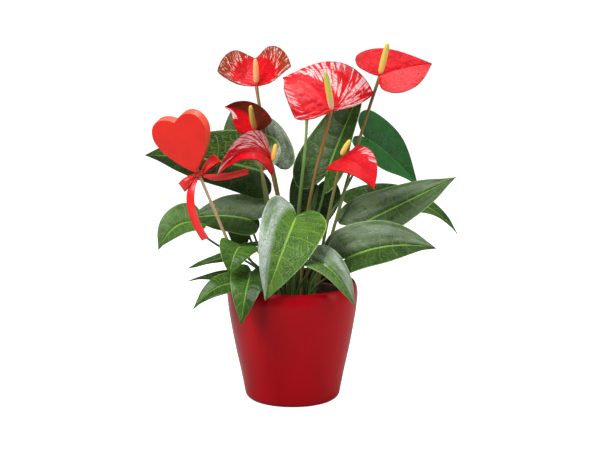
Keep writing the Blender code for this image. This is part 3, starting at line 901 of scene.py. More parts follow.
@dataclass(frozen=True)
class SpatheBackFinish(Finish):
    """Duller back of a spathe, red with a brown cast and raised veins."""

    name: str = "spathe_back"
    red: Colour = (0.42, 0.022, 0.014)
    brown: Colour = (0.16, 0.05, 0.015)
    pattern: VeinPattern = VeinPattern(8.0, 0.10)

    def paint(self, mixing: Mixing) -> None:
        """Mottle red with brown, browner on the veins.

        Args:
            mixing: The tree to build in.
        """
        masks = self.pattern.nodes(mixing)
        mottle = mixing.noise(mixing.coordinates("Object"), 80.0, 4.0)
        colour = mixing.mix(mixing.step(mottle, 0.35, 0.75), self.red, self.brown)
        colour = mixing.lay(colour, self.brown, masks["vein"], 0.5)
        mixing.shade("Base Color", colour)
        mixing.shade("Roughness", mixing.scale_add(mottle, 0.2, 0.35))
        mixing.shade("Normal", mixing.bump(masks["vein"], 0.6, 0.5 * MM))
        mixing.set(Specular_IOR_Level=0.45, Coat_Weight=0.15, Coat_Roughness=0.3)


@dataclass(frozen=True)
class SpadixFinish(Finish):
    """Close-set florets on a spadix, with its colour changing from foot to tip."""

    foot: Colour
    middle: Colour
    tip: Colour

    def paint(self, mixing: Mixing) -> None:
        """Lay three colours along the spadix, darker between the florets.

        Args:
            mixing: The tree to build in.
        """
        u, v, _ = mixing.split(mixing.coordinates("UV"))
        colour = mixing.mix(mixing.step(v, 0.05, 0.5), self.foot, self.middle)
        colour = mixing.mix(mixing.step(v, 0.55, 0.95), colour, self.tip)
        beads = mixing.cells(mixing.join(mixing.times(u, 16.0), mixing.times(v, 40.0)), 1.0, "F1", 0.35)
        gap = mixing.step(beads, 0.35, 0.62)
        colour = mixing.lay(colour, toned(self.middle, 0.55), gap, 0.4)
        mixing.shade("Base Color", colour)
        mixing.shade("Roughness", mixing.scale_add(gap, 0.25, 0.45))
        mixing.shade("Normal", mixing.bump(beads, 0.5, -0.4 * MM))
        mixing.set(Specular_IOR_Level=0.4, Subsurface_Weight=0.08, Subsurface_Radius=(0.004, 0.002, 0.001),
                   Subsurface_Scale=0.5)


@dataclass(frozen=True)
class StalkFinish(Finish):
    """Smooth stalk with fine lengthwise streaks, one colour low down and another near its top."""

    low: Colour
    high: Colour
    change: Pair
    roughness: float = 0.38
    fleck: Colour = (0.20, 0.17, 0.07)

    def paint(self, mixing: Mixing) -> None:
        """Lay two colours by height, with streaks and pale flecks.

        Args:
            mixing: The tree to build in.
        """
        place_in = mixing.coordinates("Object")
        _, _, height = mixing.split(place_in)
        streaks = mixing.noise(mixing.scaled(place_in, (900, 900, 40)), 1.0, 3.0)
        colour = mixing.mix(mixing.step(height, *self.change), self.low, self.high)
        colour = mixing.mix(mixing.step(streaks, 0.35, 0.75), colour,
                            tuple((a + b) * 0.36 for a, b in zip(self.low, self.high)))
        flecks = mixing.step(mixing.noise(place_in, 700.0, 2.0), 0.68, 0.74)
        colour = mixing.lay(colour, self.fleck, flecks, 0.35)
        mixing.shade("Base Color", colour)
        mixing.shade("Roughness", mixing.scale_add(streaks, 0.2, self.roughness - 0.1))
        mixing.shade("Normal", mixing.bump(streaks, 0.25, 0.15 * MM))
        mixing.set(Specular_IOR_Level=0.45, Coat_Weight=0.1, Coat_Roughness=0.25)


@dataclass(frozen=True)
class GlazeFinish(Finish):
    """Satin red glaze of the cover pot: nearly even, with a soft sheen and a very slight orange peel."""

    name: str = "red_glaze"
    red: Colour = (0.43, 0.001, 0.006)
    deep: Colour = (0.29, 0.001, 0.004)

    def paint(self, mixing: Mixing) -> None:
        """Cloud the red, with faint dark specks.

        Args:
            mixing: The tree to build in.
        """
        place_in = mixing.coordinates("Object")
        # The cloud of deeper red is partly the glaze's uneven tone, partly painted reflection bands.
        cloud = mixing.noise(mixing.scaled(place_in, (1, 1, 0.35)), 14.0, 3.0)
        colour = mixing.mix(mixing.step(cloud, 0.3, 0.7), self.deep, self.red)
        specks = mixing.step(mixing.noise(place_in, 900.0, 1.0), 0.70, 0.76)
        colour = mixing.lay(colour, toned(self.deep, 0.6), specks, 0.12)
        mixing.shade("Base Color", colour)
        mixing.shade("Roughness", mixing.scale_add(cloud, 0.10, 0.28))
        peel = mixing.noise(place_in, 260.0, 2.0)
        mixing.shade("Normal", mixing.bump(peel, 0.08, 0.12 * MM))
        mixing.set(Specular_IOR_Level=0.13)


@dataclass(frozen=True)
class PlasticFinish(Finish):
    """Thin brown nursery plastic with a faint moulded grain."""

    name: str = "nursery_plastic"
    brown: Colour = (0.075, 0.030, 0.018)
    dusty: Colour = (0.14, 0.10, 0.07)

    def paint(self, mixing: Mixing) -> None:
        """Lay brown with dusty stretches.

        Args:
            mixing: The tree to build in.
        """
        place_in = mixing.coordinates("Object")
        grain = mixing.noise(place_in, 600.0, 3.0)
        dust = mixing.step(mixing.noise(place_in, 60.0, 4.0), 0.5, 0.8)
        colour = mixing.lay(self.brown, self.dusty, dust, 0.4)
        mixing.shade("Base Color", colour)
        mixing.shade("Roughness", mixing.scale_add(grain, 0.2, 0.45))
        mixing.shade("Normal", mixing.bump(grain, 0.15, 0.1 * MM))


@dataclass(frozen=True)
class PeatFinish(Finish):
    """Dark damp peat with lighter fibres."""

    name: str = "peat"
    dark: Colour = (0.016, 0.010, 0.007)
    light: Colour = (0.085, 0.052, 0.030)

    def paint(self, mixing: Mixing) -> None:
        """Lay light fibres on dark crumbs.

        Args:
            mixing: The tree to build in.
        """
        place_in = mixing.coordinates("Object")
        crumbs = mixing.cells(place_in, 420.0, "F1")
        cloud = mixing.noise(place_in, 160.0, 5.0, 0.7)
        colour = mixing.mix(mixing.step(cloud, 0.40, 0.72), self.dark, self.light)
        colour = mixing.mix(mixing.step(crumbs, 0.2, 0.7), colour, self.dark)
        mixing.shade("Base Color", colour)
        mixing.shade("Roughness", mixing.scale_add(cloud, 0.15, 0.82))
        mixing.shade("Normal", mixing.bump(crumbs, 0.8, -1.0 * MM, mixing.bump(cloud, 0.6, 1.0 * MM)))
        mixing.set(Specular_IOR_Level=0.2)


@dataclass(frozen=True)
class WoodFinish(Finish):
    """Pale turned wood with its grain along the pick."""

    name: str = "pale_wood"
    light: Colour = (0.66, 0.46, 0.27)
    dark: Colour = (0.42, 0.25, 0.12)
    lean: Point = (0.0, 0.0, 0.0)

    def paint(self, mixing: Mixing) -> None:
        """Draw long fibres in two browns.

        Args:
            mixing: The tree to build in.
        """
        along = mixing.scaled(mixing.coordinates("Object"), (1100, 1100, 30), self.lean)
        fibre = mixing.noise(along, 1.0, 4.0)
        colour = mixing.mix(mixing.step(fibre, 0.35, 0.7), self.light, self.dark)
        mixing.shade("Base Color", colour)
        mixing.shade("Roughness", mixing.scale_add(fibre, 0.2, 0.5))
        mixing.shade("Normal", mixing.bump(fibre, 0.3, 0.1 * MM))


@dataclass(frozen=True)
class PaintFinish(Finish):
    """Glossy orange-red paint on the wooden heart, with paler flecks."""

    name: str = "heart_paint"
    red: Colour = (0.74, 0.018, 0.010)
    fleck: Colour = (0.86, 0.15, 0.08)

    def paint(self, mixing: Mixing) -> None:
        """Brush the red, with a few flecks.

        Args:
            mixing: The tree to build in.
        """
        place_in = mixing.coordinates("Object")
        cloud = mixing.noise(place_in, 45.0, 3.0)
        colour = mixing.mix(mixing.step(cloud, 0.3, 0.7), self.red, toned(self.red, 0.9))
        flecks = mixing.step(mixing.noise(place_in, 500.0, 2.0), 0.66, 0.74)
        colour = mixing.lay(colour, self.fleck, flecks, 0.25)
        mixing.shade("Base Color", colour)
        mixing.shade("Roughness", mixing.scale_add(cloud, 0.15, 0.32))
        brush = mixing.noise(mixing.scaled(place_in, (160, 160, 700)), 1.0, 2.0)
        mixing.shade("Normal", mixing.bump(brush, 0.12, 0.1 * MM))
        mixing.set(Specular_IOR_Level=0.25)


@dataclass(frozen=True)
class SatinFinish(Finish):
    """Woven satin ribbon: floats along its length, with a soft sheen across them."""

    name: str = "satin_ribbon"
    red: Colour = (0.82, 0.016, 0.010)
    shade_red: Colour = (0.58, 0.008, 0.008)

    def paint(self, mixing: Mixing) -> None:
        """Weave two reds in long floats, with a darker edge.

        Args:
            mixing: The tree to build in.
        """
        u, v, _ = mixing.split(mixing.coordinates("UV"))
        warp = mixing.math("SINE", mixing.times(u, 260.0))
        floats = mixing.noise(mixing.join(mixing.times(u, 60.0), mixing.times(v, 90.0)), 1.0, 2.0)
        colour = mixing.mix(mixing.step(floats, 0.3, 0.7), self.shade_red, self.red)
        edge = mixing.step(mixing.math("ABSOLUTE", mixing.math("SUBTRACT", u, 0.5)), 0.455, 0.485)
        colour = mixing.lay(colour, self.shade_red, edge, 0.4)
        mixing.shade("Base Color", colour)
        mixing.shade("Roughness", mixing.scale_add(floats, 0.15, 0.28))
        weave = mixing.bump(warp, 0.15, 0.05 * MM)
        mixing.shade("Normal", mixing.bump(edge, 0.5, 0.2 * MM, weave))
        mixing.set(Sheen_Weight=0.12, Sheen_Roughness=0.35, Anisotropic=0.5, Specular_IOR_Level=0.5)


@dataclass(frozen=True)
class FloorFinish(Finish):
    """Plain pale studio floor."""

    name: str = "pale_floor"
    white: Colour = (0.40, 0.40, 0.40)
    bright: Colour = (1.0, 1.0, 1.0)
    glow: float = 0.93

    def paint(self, mixing: Mixing) -> None:
        """Keep it pale and dull, with a glow that only the camera sees.

        Args:
            mixing: The tree to build in.
        """
        mixing.set(Base_Color=self.white, Roughness=0.9, Specular_IOR_Level=0.0, Emission_Color=self.bright)
        seen = mixing.add("ShaderNodeLightPath").outputs["Is Camera Ray"]
        mixing.shade("Emission Strength", mixing.times(seen, self.glow))


# ---------------------------------------------------------------- blades


LEAF_OUTLINE = (
    (0.00, -0.20, 0.35),
    (0.12, -0.21, 0.66),
    (0.25, -0.10, 0.93),
    (0.38, 0.08, 1.00),
    (0.52, 0.30, 0.92),
    (0.66, 0.52, 0.74),
    (0.80, 0.74, 0.45),
    (0.92, 0.90, 0.17),
    (1.00, 1.00, 0.00),
)
SPATHE_OUTLINE = (
    (0.00, -0.20, 0.26),
    (0.12, -0.28, 0.58),
    (0.25, -0.17, 0.90),
    (0.38, 0.05, 1.00),
    (0.52, 0.31, 0.92),
    (0.66, 0.56, 0.69),
    (0.80, 0.78, 0.38),
    (0.92, 0.93, 0.12),
    (1.00, 1.00, 0.00),
)


@dataclass(frozen=True)
class BladeForm:
    """A heart-shaped blade hung on a curved midrib; positions in millimetres above the soil."""

    name: str
    foot: Pair
    root: Point
    bend: Point
    tip: Point
    face: Point
    width: float
    fold: Pair = (12, 12)
    curl: Pair = (-10, -10)
    lobe: float = 1.0
    knee: Point | None = None
    rise: float = 0.45
    lean: Pair = (0, 0)
    roll: float = 0

    def length(self) -> float:
        """Straight length from the blade's root to its tip, in millimetres."""
        return float(np.linalg.norm(np.subtract(self.tip, self.root)))

    def midrib(self, along: np.ndarray) -> tuple[np.ndarray, ...]:
        """Frames along the midrib.

        Args:
            along: Fractions of the midrib's length.

        Returns:
            Centres, sides and normals, each (n, 3).
        """
        root, bend, tip = place(self.root), place(self.bend), place(self.tip)
        centre, tangent = arc(root, bend, tip, np.maximum(along, 0.0))
        length = float(np.linalg.norm(tip - root))
        centre = centre + tangent * np.minimum(along, 0.0)[:, None] * length
        side = unit(np.cross(unit(self.face), unit(tip - root)))
        sides = units(side[None, :] - (tangent @ side)[:, None] * tangent)
        return centre, sides, np.cross(tangent, sides)

    def surface(self, along: np.ndarray, across: np.ndarray) -> np.ndarray:
        """Points of the folded and curled blade at length and signed half-width fractions.

        Args:
            along: Fractions of the midrib's length.
            across: Signed fractions of the half-width.

        Returns:
            Points in metres, (n, 3).
        """
        centre, side, normal = self.midrib(along)
        t = np.clip(along, 0.0, 1.0)
        share = np.abs(across)
        angle = np.radians(halves(self.fold, t) + halves(self.curl, t) * share / 2 + self.roll * share ** 3)
        reach = across * self.width * MM
        return (centre + side * (reach * np.cos(angle))[:, None]
                + normal * (np.abs(reach) * np.sin(angle))[:, None])

    def stalk(self, behind: float, radius: float, steps: int) -> np.ndarray:
        """Middle line of the stalk from just under the soil to the back of the blade.

        Args:
            behind: Distance the stalk ends behind the blade's middle, in metres.
            radius: The stalk's radius, in metres.
            steps: Number of points wanted above the soil.

        Returns:
            The points, in metres.
        """
        foot = np.array((*self.foot, 0.0))
        top = np.array(self.root, dtype=float)
        knee = self.knee
        if knee is None:
            knee = ((foot[0] - top[0]) * 0.2, (foot[1] - top[1]) * 0.2, -0.4 * max(top[2], 20))
        lower = foot + np.array((self.lean[0], self.lean[1], self.rise * top[2]))
        path = [place(foot), place(lower), place(top + np.array(knee)), place(top)]
        normal = self.midrib(np.zeros(1))[2][0]
        slant = math.sqrt(max(0.0, 1 - float(np.dot(unit(path[3] - path[2]), normal)) ** 2))
        shift = normal * (behind + radius * slant)
        path[2] = path[2] - shift
        path[3] = path[3] - shift
        line = bezier(path, steps)
        return np.vstack([line[0] - np.array((0, 0, 8 * MM)), line])


def outline_rows(outline: Sequence[Point], rows: np.ndarray) -> np.ndarray:
    """Smooth outline points (length fraction, half-width fraction) at row parameters.

    Args:
        outline: Rows of (parameter, length fraction, half-width fraction).
        rows: The parameters wanted.

    Returns:
        Length and half-width fractions, one row for each.
    """
    table = np.array(outline)
    keys = table[:, 0]
    made = []
    for v in rows:
        index = int(min(max(np.searchsorted(keys, v) - 1, 0), len(keys) - 2))
        before, start = table[max(index - 1, 0)], table[index]
        end, after = table[index + 1], table[min(index + 2, len(keys) - 1)]
        step = end[0] - start[0]
        t = (v - start[0]) / step
        slope_start = (end - before) / (end[0] - before[0]) * step
        slope_end = (after - start) / (after[0] - start[0]) * step
        value = ((2 * t ** 3 - 3 * t ** 2 + 1) * start + (t ** 3 - 2 * t ** 2 + t) * slope_start
                 + (3 * t ** 2 - 2 * t ** 3) * end + (t ** 3 - t ** 2) * slope_end)
        made.append(value[1:])
    return np.array(made)


def flat_blade(outline: Sequence[Point], u: np.ndarray, v: np.ndarray,
               lobe: float) -> tuple[np.ndarray, np.ndarray]:
    """Lay a grid out in the blade's flat heart shape.

    Args:
        outline: Rows of (parameter, length fraction, half-width fraction).
        u: Place across, -1 to 1.
        v: Row, 0 at the notch and 1 at the tip.
        lobe: Share of the outline's lobes behind the root.

    Returns:
        Length fractions and signed half-width fractions.
    """
    rows, index = np.unique(np.round(v, 6), return_inverse=True)
    edge = outline_rows(outline, rows)[index.ravel()]
    edge_along = np.where(edge[:, 0] < 0, edge[:, 0] * lobe, edge[:, 0])
    edge_across = np.maximum(edge[:, 1], 0.0)
    start = v ** 1.6
    reach = np.abs(u)
    along = start + (edge_along - start) * reach
    across = edge_across * reach
    notch = v < 1e-6
    along = np.where(notch, 2 * reach * (1 - reach) * -0.12 * lobe + reach ** 2 * edge_along, along)
    across = np.where(notch, 2 * reach * (1 - reach) * 0.08 + reach ** 2 * edge_across, across)
    return along, across * np.sign(u)


def surface_normals(form: BladeForm, along: np.ndarray, across: np.ndarray) -> np.ndarray:
    """Normals of the face side of a blade.

    Args:
        form: The blade's form.
        along: Fractions of the midrib's length.
        across: Signed fractions of the half-width.

    Returns:
        Unit normals, (n, 3).
    """
    small = 1e-3
    here = form.surface(along, across)
    ahead = form.surface(along + small, across) - here
    aside = form.surface(along, across + small) - here
    normal = np.cross(ahead, aside)
    return normal / np.maximum(np.linalg.norm(normal, axis=1, keepdims=True), 1e-12)


def blade_piece(name: str, form: BladeForm, outline: Sequence[Point], cells: tuple[int, int],
                relief: Callable[..., np.ndarray]) -> tuple[Piece, np.ndarray, np.ndarray, np.ndarray]:
    """Shape a blade's face from a grid, with its relief and its UVs.

    Args:
        name: The piece's name.
        form: The blade's form.
        outline: Rows of (parameter, length fraction, half-width fraction).
        cells: Cells across and along.
        relief: Height over the smooth blade, from u, v, and the flat places along and across.

    Returns:
        The piece, each vertex's u and v, and its flat places along and across as two columns.
    """
    piece, u, v = grid(name, *cells)
    along, across = flat_blade(outline, u, v, form.lobe)
    normals = surface_normals(form, along, across)
    height = relief(u, v, along, across)
    move_points(piece, form.surface(along, across) + normals * height[:, None])
    write_uv(piece, np.column_stack(((u + 1) / 2, v)))
    return piece, u, v, np.column_stack((along, across))


@dataclass
class Leaf:
    """One leaf: a thin veined blade on its stalk."""

    form: BladeForm
    finish: LeafFinish
    stalk_finish: StalkFinish
    # Shares of painted sheen and of painted shade on each half, and where the sheen starts and stops.
    painted_sheen: Pair = (0.0, 0.0)
    dark: Pair = (0.0, 0.0)
    seed: int = 0
    sheen_from: float = 0.04
    sheen_until: float = 1.2
    thickness: float = 0.8 * MM
    stalk_radius: float = 1.4 * MM
    columns: int = 56
    rows: int = 60
    rib_factor: float = 1.6

    def relief(self, u: np.ndarray, v: np.ndarray, *_: np.ndarray) -> np.ndarray:
        """Height of the quilted surface over the smooth blade, in metres.

        Args:
            u: Place across, -1 to 1.
            v: Row, 0 at the notch and 1 at the tip.
            _: Flat places along and across, which a leaf does without.

        Returns:
            Heights, in metres.
        """
        pattern = self.finish.pattern
        reach = np.abs(u)
        row = (v - pattern.sweep_forward * reach ** 2) * pattern.count
        dome = np.sin(np.pi * (row % 1.0)) ** 0.8
        size = self.form.width / 35
        quilt = 0.45 * MM * size * dome * smooth(0.0, 0.2, reach) * (1 - smooth(0.8, 1.0, reach))
        quilt *= self.finish.relief
        quilt -= 0.5 * MM * np.exp(-(reach / 0.045) ** 2) * (1 - v)
        phase = self.seed * 1.7
        wave = 1.3 * MM * size * reach ** 3 * np.sin(13 * v + phase + 1.5 * np.sign(u))
        return quilt + wave * (1 - smooth(0.85, 1.0, v))

    def build_blade(self, back: Material, face: Material) -> Piece:
        """Shape the blade from a grid and give it its thickness.

        Args:
            back: Material of the underside.
            face: Material of the upper side.

        Returns:
            The piece.
        """
        piece, u, v, flat = blade_piece(self.form.name, self.form, LEAF_OUTLINE, (self.columns, self.rows),
                                        self.relief)
        tone = np.zeros((len(u), len(Tone)))
        # Paint sheen on the halves turned to the lamps and shade on those turned away, half by half.
        share = smooth(-0.12, 0.12, u)
        edge = smooth(0.04, 0.3, np.abs(u))
        sheen_mask = smooth(self.sheen_from, self.sheen_from + 0.25, np.abs(u))
        sheen_mask *= 1 - smooth(self.sheen_until - 0.1, self.sheen_until + 0.1, v)
        tone[:, Tone.BLOOM] = sheen_mask * halves(self.painted_sheen, share)
        tone[:, Tone.DARK] = edge * halves(self.dark, share)
        write_tone(piece, tone)
        dress(piece, face, back)
        rib = piece.vertex_groups.new(name="rib")
        weight = 0.35 + 0.65 * np.exp(-(flat[:, 1] * self.form.width / 2.2) ** 2) * (1 - 0.6 * v)
        for index, value in enumerate(weight):
            rib.add([index], float(value), "REPLACE")
        edit(piece, lambda: bpy.ops.mesh.remove_doubles(threshold=WELD), bpy.ops.mesh.flip_normals)
        thicken(piece, self.thickness * self.rib_factor, vertex_group="rib", thickness_vertex_group=0.0,
                material_offset=1)
        piece.vertex_groups.clear()
        soften(piece, 60)
        return piece

    def build(self, face: Material, back: Material, stalk: Material) -> Piece:
        """Build the whole leaf.

        Args:
            face: Material of the upper side.
            back: Material of the underside.
            stalk: Material of the stalk.

        Returns:
            The finished piece.
        """
        blade = self.build_blade(back, face)
        line = self.form.stalk(self.thickness / 2, 0.0, 26)
        share = np.linspace(0, 1, len(line))
        radii = self.stalk_radius * (1.25 - 0.35 * smooth(0.0, 0.5, share) + 0.25 * smooth(0.9, 0.97, share))
        radii[-1] *= 0.7
        tube = sweep(self.form.name + "_stalk", line, radii, 10)
        dress(tube, stalk)
        soften(tube, 60)
        pick(blade, tube)
        bpy.ops.object.join()
        return finish_piece(named(blade, self.form.name + "_grown"), "leaf", self.form.name)


@dataclass
class Flower:
    """One flower: spathe, spadix and stem."""

    form: BladeForm
    finish: SpatheFinish
    spadix_path: tuple[Point, Point, Point]
    spadix_radius: float
    spadix_finish: SpadixFinish
    stem_finish: StalkFinish
    quilt: float = 1.0
    # Where the painted highlight streaks lie: their strength on each half, how far out they start, and over
    # which rows.
    painted_sheen: Pair = (0.0, 0.0)
    sheen_from: Pair = (0.1, 0.1)
    sheen_along: Pair = (-0.5, -0.4)
    # Brown on each half: own colour, and partly painted shade on the half-open spathe.
    brown: Pair = (0.0, 0.0)
    brown_from: float = 0.15
    dark_tip: float = 0.0
    seed: int = 0
    thickness: float = 1.1 * MM
    stem_radius: float = 1.6 * MM
    columns: int = 110
    rows: int = 100
    spadix_clearance: float = 0.9 * MM

    @property
    def kind(self) -> str:
        """The flower's own name, without the piece's."""
        return self.form.name.split("_", 1)[1]

    def relief(self, u: np.ndarray, v: np.ndarray, along: np.ndarray, across: np.ndarray) -> np.ndarray:
        """Height of the blistered surface over the smooth spathe, in metres.

        Args:
            u: Place across, -1 to 1.
            v: Row, 0 at the notch and 1 at the tip.
            along: Fractions of the midrib's length.
            across: Signed fractions of the half-width.

        Returns:
            Heights, in metres.
        """
        pattern = self.finish.pattern
        reach = np.abs(u)
        row = (v - pattern.sweep_forward * reach ** 2) * pattern.count
        blister = np.empty(len(u))
        for index in range(len(u)):
            spot = Vector((abs(float(across[index])) * self.form.width / 7.0, float(row[index]) * 1.35,
                           float(np.sign(u[index])) * 3.0 + self.seed))
            distance = noise.voronoi(spot, distance_metric="DISTANCE", exponent=2.5)[0]
            blister[index] = min(1.0, (distance[1] - distance[0]) * 1.8)
        ribs = np.abs(np.sin(np.pi * row)) ** 0.7
        flat = smooth(0.02, 0.15, reach) * (1 - 0.6 * smooth(0.9, 1.0, reach))
        size = self.form.width / 52
        height = self.quilt * MM * size ** 0.5 * flat * (0.42 * blister + 0.38 * ribs)
        height -= 0.5 * MM * np.exp(-(reach / 0.05) ** 2) * (1 - v)
        wave = 1.0 * MM * size * reach ** 3 * np.sin(11 * v + self.seed * 1.3 + 1.9 * np.sign(u))
        return height + wave * (1 - smooth(0.85, 1.0, v))

    def build_spathe(self, face: Material, back: Material) -> Piece:
        """Shape the spathe from a fine grid and give it its thickness.

        Args:
            face: Material of the face.
            back: Material of the back.

        Returns:
            The piece.
        """
        piece, u, v, flat = blade_piece(self.form.name + "_grown", self.form, SPATHE_OUTLINE,
                                        (self.columns, self.rows), self.relief)
        sideways = flat[:, 1] * self.form.width / self.form.length()
        ahead = flat[:, 0] + 0.02
        write_uv(piece, np.column_stack((np.arctan2(sideways, ahead), np.hypot(sideways, ahead))), "rays")
        tone = np.zeros((len(u), len(Tone)))
        share = smooth(-0.1, 0.1, u)
        edge = smooth(self.brown_from, self.brown_from + 0.35, np.abs(u))
        # Mask of the painted highlight streaks.
        sheen_mask = smooth(0.0, 0.3, np.abs(u) - halves(self.sheen_from, share)) * smooth(*self.sheen_along, v)
        tone[:, Tone.BLOOM] = sheen_mask * halves(self.painted_sheen, share)
        tone[:, Tone.BROWN] = edge * halves(self.brown, share)
        tone[:, Tone.DARK] = self.dark_tip * smooth(0.93, 0.985, v)
        write_tone(piece, tone)
        dress(piece, face, back)
        edit(piece, lambda: bpy.ops.mesh.remove_doubles(threshold=WELD), bpy.ops.mesh.flip_normals)
        thicken(piece, self.thickness * 0.8, material_offset=1)
        soften(piece, 60)
        return finish_piece(piece, "spathe", self.form.name)

    def build_spadix(self, look: Material) -> Piece:
        """Shape the spadix from a fine ball: drawn out along its bent axis and set with florets.

        Args:
            look: Its material.

        Returns:
            The piece.
        """
        normal = self.form.midrib(np.zeros(1))[2][0]
        lift = normal * (self.thickness / 2 + self.spadix_clearance)
        base, belly, end = [place(point) + lift for point in self.spadix_path]
        object_mode()
        bpy.ops.mesh.primitive_uv_sphere_add(segments=72, ring_count=110, radius=1)
        piece = named(bpy.context.object, "spadix_" + self.kind + "_grown")
        co = points_of(piece)
        turn = np.arctan2(co[:, 1], co[:, 0])
        t = np.arcsin(np.clip(co[:, 2], -1, 1)) / math.pi + 0.5
        centre, tangent = arc(base, belly, end, t)
        across = units(np.cross(tangent, np.array((0.3, 1.0, 0.1))))
        other = np.cross(tangent, across)
        body = np.interp(t, (0, 0.02, 0.1, 0.3, 0.6, 0.85, 0.94, 0.98, 1.0),
                         (0.0, 0.55, 0.85, 1.0, 0.95, 0.80, 0.62, 0.38, 0.0))
        length = float(np.linalg.norm(end - base))
        rings = max(10, int(length / (self.spadix_radius * MM * 0.42)))
        stagger = np.pi * np.floor(t * rings)
        florets = 0.5 + 0.5 * np.cos(12 * turn + stagger)
        florets = florets * np.abs(np.sin(np.pi * t * rings)) ** 0.6
        radius = self.spadix_radius * MM * body * (0.94 + 0.07 * florets)
        move_points(piece, centre + around(across, other, radius, turn))
        face_outward(piece)
        dress(piece, look)
        soften(piece, 80)
        return finish_piece(piece, "spadix", "spadix_" + self.kind)

    def build_stem(self, look: Material) -> Piece:
        """Sweep the stem from the soil to the back of the spathe.

        Args:
            look: Its material.

        Returns:
            The piece.
        """
        line = self.form.stalk(self.thickness / 2 + 0.1 * MM, self.stem_radius * 0.5, 40)
        share = np.linspace(0, 1, len(line))
        radii = self.stem_radius * (1.15 - 0.12 * smooth(0.1, 0.8, share) + 0.2 * smooth(0.95, 1.0, share))
        radii[0] *= 0.9
        piece = sweep("stem_" + self.kind + "_grown", line, radii, 12)
        dress(piece, look)
        soften(piece, 60)
        return finish_piece(piece, "stem", "stem_" + self.kind)


# ---------------------------------------------------------------- the plant


FRESH = LeafFinish("leaf_fresh", (0.062, 0.165, 0.008), (0.034, 0.106, 0.006), (0.21, 0.36, 0.05),
                   painted_sheen=(0.56, 0.62, 0.60), roughness=0.26, net=0.36, coat=0.35, specular=0.3)
GREEN = LeafFinish("leaf_green", (0.036, 0.122, 0.008), (0.017, 0.066, 0.005), (0.20, 0.36, 0.05), net=0.40,
                   coat=0.15)
DEEP = LeafFinish("leaf_deep", (0.024, 0.070, 0.006), (0.009, 0.032, 0.003), (0.18, 0.31, 0.07), net=0.42,
                  coat=0.05, specular=0.12, roughness=0.30, ribs=0.5)
SMOOTH = LeafFinish("leaf_smooth", (0.018, 0.110, 0.018), (0.013, 0.088, 0.015), (0.045, 0.15, 0.035),
                    net=0.15, relief=0.2, coat=0.0)

PETIOLE = StalkFinish("petiole", (0.060, 0.140, 0.030), (0.085, 0.170, 0.035), (0.12, 0.20))
PETIOLE_DARK = StalkFinish("petiole_dark", (0.050, 0.085, 0.025), (0.050, 0.110, 0.028), (0.12, 0.20))


@dataclass
class Foliage:
    """All leaves, with the young one still rolled."""

    leaves: tuple[Leaf, ...]
    bud_path: tuple[tuple[float, float, float, float], ...] = (
        (0, 0, -8, 1.8),
        (0, 0, 0, 1.8),
        (7, 2, 96, 1.8),
        (13, 7, 153, 1.7),
        (15, 13, 184, 1.6),
        (15, 20, 202, 4.5),
        (12, 30, 226, 0.5),
    )

    def build(self) -> None:
        """Build every leaf."""
        back = LeafBackFinish().make()
        for leaf in self.leaves:
            leaf.build(leaf.finish.make(), back, leaf.stalk_finish.make())
        self.build_bud(StalkFinish("young_leaf", (0.16, 0.26, 0.07), (0.17, 0.30, 0.07), (0.2, 0.3)).make())

    def build_bud(self, look: Material) -> Piece:
        """Sweep the rolled young leaf and its stalk as one tube, thicker where the leaf is rolled.

        Args:
            look: Its material.

        Returns:
            The piece.
        """
        table = np.array([(*place(point[:3]), point[3] * MM) for point in self.bud_path])
        bends = [smooth_between(table, index, 8) for index in range(1, len(table) - 1)]
        line = np.vstack([table[:1], *bends, table[-1:]])
        piece = sweep("leaf_young_grown", line[:, :3], np.maximum(line[:, 3], 0.3 * MM), 12)
        dress(piece, look)
        soften(piece, 60)
        return finish_piece(piece, "leaf", "leaf_young")


